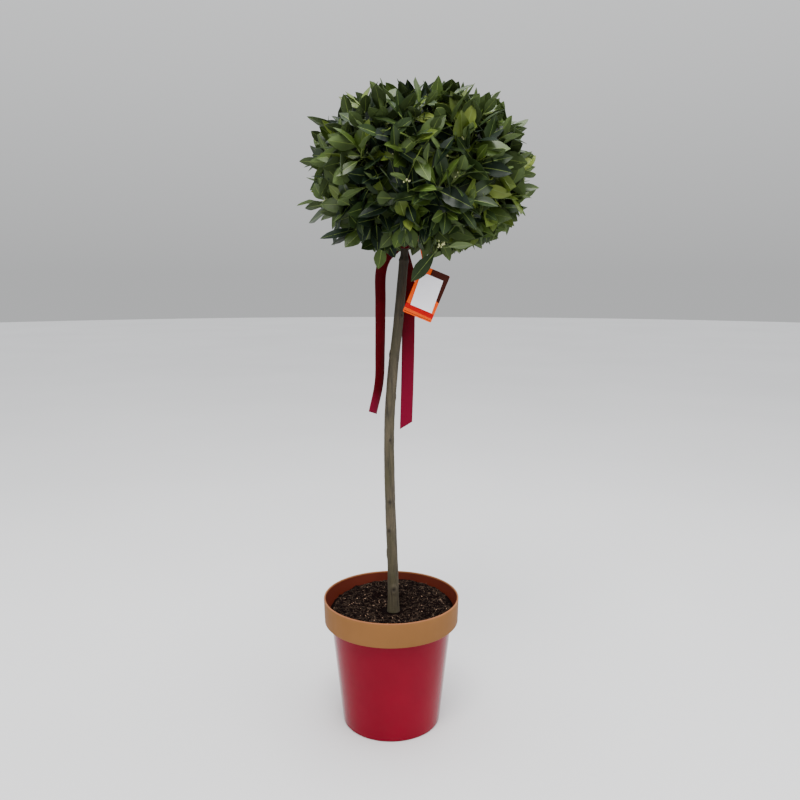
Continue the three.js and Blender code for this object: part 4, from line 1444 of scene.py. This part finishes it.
def pot_profile():
    """Radius, height and finish round the pot's section, from its foot up to the lip and down inside."""
    groove_top = POT_HEIGHT - 7 * MM
    skirt_radius = COLLAR_FOOT_RADIUS - SKIRT_WALL
    groove_radius = RIM_RADIUS - SKIRT_WALL - 0.4 * MM
    lip_radius, lip_foot = RIM_RADIUS - LIP_WIDTH, POT_HEIGHT - 3.0 * MM
    wall_radius = RIM_RADIUS - POT_WALL - 0.7 * MM
    foot_radius = BASE_RADIUS - FOOT_ROUNDING
    rows = [(0, 0, RED), (BASE_RADIUS - 24 * MM, 0, RED), (foot_radius, 0, RED)]
    for step in range(1, 6):
        angle = math.radians(90 * step / 5)
        height = FOOT_ROUNDING - FOOT_ROUNDING * math.cos(angle)
        rows.append((foot_radius + FOOT_ROUNDING * math.sin(angle), height, RED))
    for step in range(1, 12):
        share = step / 12
        height = lerp(FOOT_ROUNDING, SHOULDER_HEIGHT, share)
        rows.append((lerp(BASE_RADIUS, BODY_TOP_RADIUS, share), height, RED))
    rows += [
        (BODY_TOP_RADIUS, SHOULDER_HEIGHT, RED),
        (BODY_TOP_RADIUS + 0.6 * MM, SHOULDER_HEIGHT + 3 * MM, RED),
        (groove_radius - 0.8 * MM, groove_top, RED),
        (groove_radius, groove_top, GOLD),
        (skirt_radius, SHOULDER_HEIGHT + 0.8 * MM, GOLD),
        (skirt_radius + 0.5 * MM, SHOULDER_HEIGHT + 0.1 * MM, GOLD),
        (COLLAR_FOOT_RADIUS - 0.7 * MM, SHOULDER_HEIGHT, GOLD),
        (COLLAR_FOOT_RADIUS, SHOULDER_HEIGHT + 0.8 * MM, GOLD),
    ]
    for step in range(1, 6):
        share = step / 6
        height = lerp(SHOULDER_HEIGHT, POT_HEIGHT - 2 * MM, share)
        rows.append((lerp(COLLAR_FOOT_RADIUS, RIM_RADIUS, share), height, GOLD))
    rows += [
        (RIM_RADIUS, POT_HEIGHT - 1.4 * MM, GOLD),
        # The lip's faces take the painted highlight.
        (RIM_RADIUS - 0.3 * MM, POT_HEIGHT - 0.4 * MM, LIP_HIGHLIGHT),
        (RIM_RADIUS - 1.0 * MM, POT_HEIGHT, LIP_HIGHLIGHT),
        (RIM_RADIUS - 2.4 * MM, POT_HEIGHT, LIP_HIGHLIGHT),
        (lip_radius, POT_HEIGHT - 0.6 * MM, LIP_HIGHLIGHT),
        (lip_radius, POT_HEIGHT - 2.4 * MM, LIP_HIGHLIGHT),
        (wall_radius, lip_foot, CLAY),
    ]
    for step in range(1, 5):
        share = step / 5
        radius = lerp(wall_radius, BODY_TOP_RADIUS - POT_WALL, share)
        rows.append((radius, lerp(lip_foot, SHOULDER_HEIGHT, share), CLAY))
    rows += [
        (BODY_TOP_RADIUS - POT_WALL, SHOULDER_HEIGHT, CLAY),
        (BASE_RADIUS - POT_WALL, POT_FLOOR, CLAY),
        (0, POT_FLOOR, CLAY),
    ]
    return rows


def make_pot(settings):
    rows = pot_profile()
    verts, faces, bands = turned([row[:2] for row in rows], 128)
    materials = [
        plastic_finish("pot_red", settings.red, 0.06, 0.06, 0.04),
        plastic_finish("pot_gold", settings.gold, 0.54, 0.0, 0.12),
        plastic_finish("pot_clay", settings.clay, 0.42, 0.0, 0.15),
        plastic_finish("pot_lip", settings.lip, 0.34, 0.0, 0.1),
    ]
    obj = build_mesh("collared_pot", verts, faces, materials, [rows[band + 1][2] for band in bands])
    drill_holes(obj)
    rework(obj, mark_sharp, math.radians(34))
    place(obj, "pot_plastic", "pot")


def drill_holes(obj):
    for x, y, z in circle(DRAIN_RING, POT_FLOOR / 2, DRAIN_HOLES):
        bpy.ops.mesh.primitive_cylinder_add(
            vertices=24, radius=DRAIN_RADIUS, depth=POT_FLOOR * 3, location=(x, y, z)
        )
        drill = bpy.context.object
        cut = obj.modifiers.new("drain", "BOOLEAN")
        cut.operation = "DIFFERENCE"
        cut.solver = "EXACT"
        cut.object = drill
        finish_modifiers(obj)
        bpy.data.objects.remove(drill)


def finish_modifiers(obj):
    """Bake the object's modifiers into its mesh."""
    bpy.context.view_layer.update()
    graph = bpy.context.evaluated_depsgraph_get()
    mesh = bpy.data.meshes.new_from_object(obj.evaluated_get(graph), depsgraph=graph)
    obj.modifiers.clear()
    obj.data = mesh


def compost_finish(settings):
    finish = Finish("potting_compost", 0.95, Specular_IOR_Level=0.04)
    crumbs = finish.noise(260, 6, rough=0.7)
    clods = finish.noise(70, 3)
    base = finish.tones(crumbs, settings.compost, (0.35, 0.3), (0.55, 1), (0.74, 2.6))
    finish.colour(finish.mix(finish.range(clods, 0.0, 0.5), base, tint(settings.compost, 0.3)))
    finish.bump((crumbs, 0.9, 2 * MM), (clods, 0.6, 3 * MM))
    return finish.material


def litter_finish(name, colour):
    finish = Finish(name, 0.85, Specular_IOR_Level=0.08)
    grain = finish.noise(380, 4)
    finish.colour(finish.tones(grain, colour, (0.3, 0.5), (0.55, 1), (0.8, 1.6)))
    finish.bump((grain, 0.4, 0.3 * MM))
    return finish.material


COMPOST_SIDES = 150
COMPOST_RINGS = 52
# The rings of the compost's top that small pieces lie on, clear of the stem and of the wall.
LITTER_RINGS = (9, 49)
LITTER_AREA = math.pi * 0.11**2
WALL_CLEARANCE = 0.6 * MM
HEAP_RISE = 17 * MM
HEAP_AZIMUTH = math.radians(72)
HEAP_RADII = (18 * MM, 100 * MM)
MOUND_RISE = 2 * MM
MOUND_RADIUS = 66 * MM
MOUND_WIDTH = 36 * MM
EDGE_DROP = 3.5 * MM
STEM_HOLLOW = 12 * MM


def inner_radius(height):
    if height >= SHOULDER_HEIGHT:
        share = (height - SHOULDER_HEIGHT) / COLLAR_HEIGHT
        return lerp(BODY_TOP_RADIUS - POT_WALL, RIM_RADIUS - POT_WALL, share)
    return lerp(BASE_RADIUS, BODY_TOP_RADIUS, height / SHOULDER_HEIGHT) - POT_WALL


def compost_top(x, y, edge_radius):
    """The compost's height: level at the stem, a low mound round it, clods, and a heap at the back."""
    radius = math.hypot(x, y)
    mound = MOUND_RISE * math.exp(-(((radius - MOUND_RADIUS) / MOUND_WIDTH) ** 2))
    edge = -EDGE_DROP * max(0.0, (radius / edge_radius - 0.88) / 0.12) ** 2
    spot = Vector((x, y, 0.3))
    clods = noise.fractal(spot * 85, 0.6, 2.2, 5) * 3.0 * MM + abs(noise.noise(spot * 260)) * 2.2 * MM
    away = min(1.0, max(0.0, (radius - STEM_HOLLOW) / (10 * MM)))
    heaped = 0.5 + 0.5 * math.cos(math.atan2(y, x) - HEAP_AZIMUTH)
    heap = HEAP_RISE * heaped * smooth(radius, *HEAP_RADII)
    return COMPOST_HEIGHT + (mound + clods) * away + heap + edge - 0.4 * MM


def make_compost(settings):
    """A closed block of compost with a crumbly top, and chips and fibres scattered on it."""
    sides, rings = COMPOST_SIDES, COMPOST_RINGS
    edge_radius = inner_radius(COMPOST_HEIGHT - 3 * MM) - WALL_CLEARANCE
    verts = [vec(0, 0, COMPOST_HEIGHT - 0.6 * MM)]
    for r in range(1, rings + 1):
        for x, y, _ in circle(edge_radius * r / rings, 0, sides):
            height = compost_top(x, y, edge_radius)
            wall = (inner_radius(height) - WALL_CLEARANCE) / edge_radius
            spread = lerp(1, wall, (r / rings) ** 3)
            verts.append(vec(x * spread, y * spread, height))
    for height in (SHOULDER_HEIGHT, POT_FLOOR + GAP):
        verts += circle(inner_radius(height) - WALL_CLEARANCE, height, sides)
    faces = [(0, 1 + k, 1 + (k + 1) % sides) for k in range(sides)]
    faces += quads(rings + 2, sides, start=1, flipped=True)
    faces.append(tuple(range(len(verts) - 1, len(verts) - 1 - sides, -1)))
    place(build_mesh("compost_block", verts, faces, [compost_finish(settings)]), "compost", "compost")
    first, end = LITTER_RINGS
    bed = verts[1 + first * sides : 1 + end * sides]
    for name, look, shade, count, size, tilt, seed in (
        ("chips", "bark_chip", 0.16, settings.chips, (5.4, 1.0, 0.8), 0.5, 21),
        ("fibres", "brown_fibre", 0.5, settings.fibres, (10.0, 0.7, 0.5), 0.5, 33),
        ("flakes", "pale_fibre", 1, settings.flakes, (7.5, 1.7, 1.0), 0.35, 47),
        ("grit", "pale_grit", 2.2, settings.grit, (1.9, 1.6, 1.3), 0.6, 58),
    ):
        finish = litter_finish(look, tint(settings.fibre, shade))
        length, width, height = (value * MM for value in size)
        values = {"Pieces": count, "Length": length, "Width": width, "Height": height}
        scatter(bed, f"compost_{name}", finish, {**values, "Tilt": tilt, "Seed": seed, "Finish": finish})


SCATTER_INPUTS = {
    "Geometry": "Geometry",
    "Pieces": "Int",
    "Length": "Float",
    "Width": "Float",
    "Height": "Float",
    "Tilt": "Float",
    "Seed": "Int",
    "Finish": "Material",
}


def scatter_tree(name):
    """A node tree that lays small pieces on a surface, and its inputs' identifiers by name."""
    tree = bpy.data.node_groups.new(name, "GeometryNodeTree")
    sockets = {}
    for label, kind in SCATTER_INPUTS.items():
        made = tree.interface.new_socket(label, in_out="INPUT", socket_type=f"NodeSocket{kind}")
        sockets[label] = made.identifier
    tree.interface.new_socket("Geometry", in_out="OUTPUT", socket_type="NodeSocketGeometry")

    def node(kind, **settings):
        made = tree.nodes.new(kind)
        for key, value in settings.items():
            setattr(made, key, value)
        return made

    start, end = node("NodeGroupInput"), node("NodeGroupOutput")
    points = node("GeometryNodeDistributePointsOnFaces")
    density = node("ShaderNodeMath", operation="DIVIDE")
    density.inputs[1].default_value = LITTER_AREA
    piece = node("GeometryNodeMeshIcoSphere")
    set_inputs(piece, Radius=0.5, Subdivisions=1)
    shape, low, high = (node("ShaderNodeCombineXYZ") for _ in range(3))
    set_inputs(high, Z=FULL_TURN)
    back = node("ShaderNodeMath", operation="MULTIPLY")
    back.inputs[1].default_value = -1.0
    turn = node("FunctionNodeRandomValue", data_type="FLOAT_VECTOR")
    size = node("FunctionNodeRandomValue", data_type="FLOAT")
    size.inputs[2].default_value, size.inputs[3].default_value = 0.45, 1.5
    grown = node("ShaderNodeVectorMath", operation="SCALE")
    lay = node("GeometryNodeInstanceOnPoints")
    real = node("GeometryNodeRealizeInstances")
    paint = node("GeometryNodeSetMaterial")
    for source, output, target, socket in (
        (start, "Pieces", density, 0),
        (start, "Geometry", points, "Mesh"),
        (density, 0, points, "Density"),
        (start, "Seed", points, "Seed"),
        (start, "Length", shape, "X"),
        (start, "Width", shape, "Y"),
        (start, "Height", shape, "Z"),
        (start, "Tilt", back, 0),
        (back, 0, low, "X"),
        (back, 0, low, "Y"),
        (start, "Tilt", high, "X"),
        (start, "Tilt", high, "Y"),
        (low, 0, turn, 0),
        (high, 0, turn, 1),
        (start, "Seed", turn, "Seed"),
        (start, "Seed", size, "Seed"),
        (shape, 0, grown, 0),
        (size, 1, grown, "Scale"),
        (points, "Points", lay, "Points"),
        (piece, "Mesh", lay, "Instance"),
        (turn, 0, lay, "Rotation"),
        (grown, 0, lay, "Scale"),
        (lay, "Instances", real, "Geometry"),
        (real, "Geometry", paint, "Geometry"),
        (start, "Finish", paint, "Material"),
        (paint, "Geometry", end, "Geometry"),
    ):
        tree.links.new(source.outputs[output], target.inputs[socket])
    return tree, sockets


def scatter(bed, name, finish, values):
    """Small pieces lying on the compost, placed by a node tree and made one mesh."""
    first, end = LITTER_RINGS
    obj = build_mesh(name, bed, quads(end - first, COMPOST_SIDES, flipped=True), [finish])
    modifier = obj.modifiers.new("scatter", "NODES")
    modifier.node_group, sockets = scatter_tree(f"{name}_tree")
    for label, value in values.items():
        modifier[sockets[label]] = value
    finish_modifiers(obj)
    place(obj, "compost")


# Operators


def settings_of(context):
    return context.scene.bay_tree


class BAY_OT_trunk(bpy.types.Operator):
    """Make the stem with its bark, knots and pruning ring"""

    bl_idname = "bay.trunk"
    bl_label = "Make Trunk"

    def execute(self, context):
        make_trunk(settings_of(context).wood)
        return {"FINISHED"}


class BAY_OT_boughs(bpy.types.Operator):
    """Make the boughs that carry the head"""

    bl_idname = "bay.boughs"
    bl_label = "Make Boughs"

    def execute(self, context):
        make_boughs()
        return {"FINISHED"}


class BAY_OT_foliage(bpy.types.Operator):
    """Grow twigs, leaves and flower buds for every mass of the head"""

    bl_idname = "bay.foliage"
    bl_label = "Grow Foliage"

    def execute(self, context):
        settings = settings_of(context).foliage
        finishes = foliage_finishes(settings)
        leaf_finish("flower_bud", settings.bud, 0.5, 0.1)
        ends = shoot_ends(settings.shoots)
        for i, plan in enumerate(BOUGHS):
            own = [end for end in ends if bough_of(end["point"]) is plan]
            sprays = Sprays(plan, 101 + i, settings)
            sprays.grow(own)
            sprays.build(finishes)
        return {"FINISHED"}


class BAY_OT_pot(bpy.types.Operator):
    """Make the pot with its collar, lip and drain holes"""

    bl_idname = "bay.pot"
    bl_label = "Make Pot"

    def execute(self, context):
        make_pot(settings_of(context).pot)
        return {"FINISHED"}


class BAY_OT_compost(bpy.types.Operator):
    """Fill the pot with compost, bark chips and fibres"""

    bl_idname = "bay.compost"
    bl_label = "Fill With Compost"

    def execute(self, context):
        make_compost(settings_of(context).pot)
        return {"FINISHED"}


class BAY_OT_ribbon(bpy.types.Operator):
    """Tie the satin ribbon round the top of the stem"""

    bl_idname = "bay.ribbon"
    bl_label = "Tie Ribbon"

    def execute(self, context):
        make_ribbon(settings_of(context).trim)
        return {"FINISHED"}


class BAY_OT_label(bpy.types.Operator):
    """Hang the blank price label from a low bough"""

    bl_idname = "bay.label"
    bl_label = "Hang Label"

    def execute(self, context):
        make_label(settings_of(context).trim)
        return {"FINISHED"}


class BAY_OT_stage(bpy.types.Operator):
    """Set out the plain floor, the soft lights and the camera"""

    bl_idname = "bay.stage"
    bl_label = "Set Stage"

    def execute(self, context):
        make_floor()
        make_lights(context.scene)
        make_camera(context.scene)
        return {"FINISHED"}


FLOOR_RADIUS = 14
HORIZON_LIGHT = 0.55
ZENITH_LIGHT = 1.5
LIT_POINT = Vector((0.03, 0, 0.75))
# Each light's place, size, power and colour.
LIGHTS = {
    "key": ((-0.25, -1.5, 3.3), 1.3, 92, (1.0, 0.98, 0.94)),
    "fill": ((2.2, -1.4, 1.9), 1.8, 20, (0.94, 0.97, 1.0)),
    "sky": ((0.3, 0.2, 3.2), 2.2, 62, (0.98, 0.99, 1.0)),
}
CAMERA_PLACE = (0.0162, -1.413, 0.832)
CAMERA_DIP = math.radians(9.02)


def make_floor():
    bpy.ops.mesh.primitive_circle_add(vertices=64, radius=FLOOR_RADIUS, fill_type="NGON")
    floor = bpy.context.object
    floor.name = "studio_floor"
    finish = Finish("studio_floor", 0.75)
    finish.colour(finish.ramp(finish.noise(0.8, 2), (0.3, (0.72, 0.72, 0.73)), (0.7, (0.76, 0.76, 0.77))))
    floor.data.materials.append(finish.material)


def make_lights(scene):
    world = bpy.data.worlds.new("studio")
    world.use_nodes = True
    nodes, link = world.node_tree.nodes, world.node_tree.links.new
    background = nodes["Background"]
    set_inputs(background, Color=(0.95, 0.96, 0.97, 1))
    way = nodes.new("ShaderNodeTexCoord")
    split = nodes.new("ShaderNodeSeparateXYZ")
    lift = nodes.new("ShaderNodeMapRange")
    set_inputs(lift, From_Min=0.0, From_Max=0.9, To_Min=HORIZON_LIGHT, To_Max=ZENITH_LIGHT)
    link(way.outputs["Generated"], split.inputs[0])
    link(split.outputs["Z"], lift.inputs["Value"])
    link(lift.outputs["Result"], background.inputs["Strength"])
    scene.world = world
    for name, (spot, size, power, colour) in LIGHTS.items():
        data = bpy.data.lights.new(name, "AREA")
        data.size = size
        data.energy = power
        data.color = colour
        lamp = bpy.data.objects.new(name, data)
        lamp.location = spot
        lamp.rotation_euler = (LIT_POINT - Vector(spot)).to_track_quat("-Z", "Y").to_euler()
        scene.collection.objects.link(lamp)


def make_camera(scene):
    """The photograph's view: 1.41 m in front of the stem, 0.83 m up, looking 9 degrees down."""
    data = bpy.data.cameras.new("photo_view")
    data.sensor_width = 36
    data.lens = 36
    camera = bpy.data.objects.new("photo_view", data)
    camera.location = CAMERA_PLACE
    camera.rotation_euler = (math.radians(90) - CAMERA_DIP, 0, 0)
    scene.collection.objects.link(camera)
    scene.camera = camera


OPERATORS = (
    BAY_OT_trunk,
    BAY_OT_boughs,
    BAY_OT_foliage,
    BAY_OT_pot,
    BAY_OT_compost,
    BAY_OT_ribbon,
    BAY_OT_label,
    BAY_OT_stage,
)


class BAY_PT_panel(bpy.types.Panel):
    """Buttons and settings for the bay tree"""

    bl_label = "Bay Tree"
    bl_idname = "BAY_PT_panel"
    bl_space_type = "VIEW_3D"
    bl_region_type = "UI"
    bl_category = "Bay Tree"

    def draw(self, context):
        settings = settings_of(context)
        for group in (settings.foliage, settings.wood, settings.pot, settings.trim):
            box = self.layout.box()
            for name in group.__annotations__:
                box.prop(group, name)
        for operator in OPERATORS:
            self.layout.operator(operator.bl_idname)


CLASSES = (
    BayFoliageSettings,
    BayWoodSettings,
    BayPotSettings,
    BayTrimSettings,
    BayTreeSettings,
    *OPERATORS,
    BAY_PT_panel,
)


def register():
    for cls in CLASSES:
        bpy.utils.register_class(cls)
    bpy.types.Scene.bay_tree = PointerProperty(type=BayTreeSettings)


def unregister():
    del bpy.types.Scene.bay_tree
    for cls in reversed(CLASSES):
        bpy.utils.unregister_class(cls)


def main():
    register()
    bpy.ops.bay.trunk()
    bpy.ops.bay.boughs()
    bpy.ops.bay.foliage()
    bpy.ops.bay.pot()
    bpy.ops.bay.compost()
    bpy.ops.bay.ribbon()
    bpy.ops.bay.label()
    bpy.ops.bay.stage()


if __name__ == "__main__":
    main()
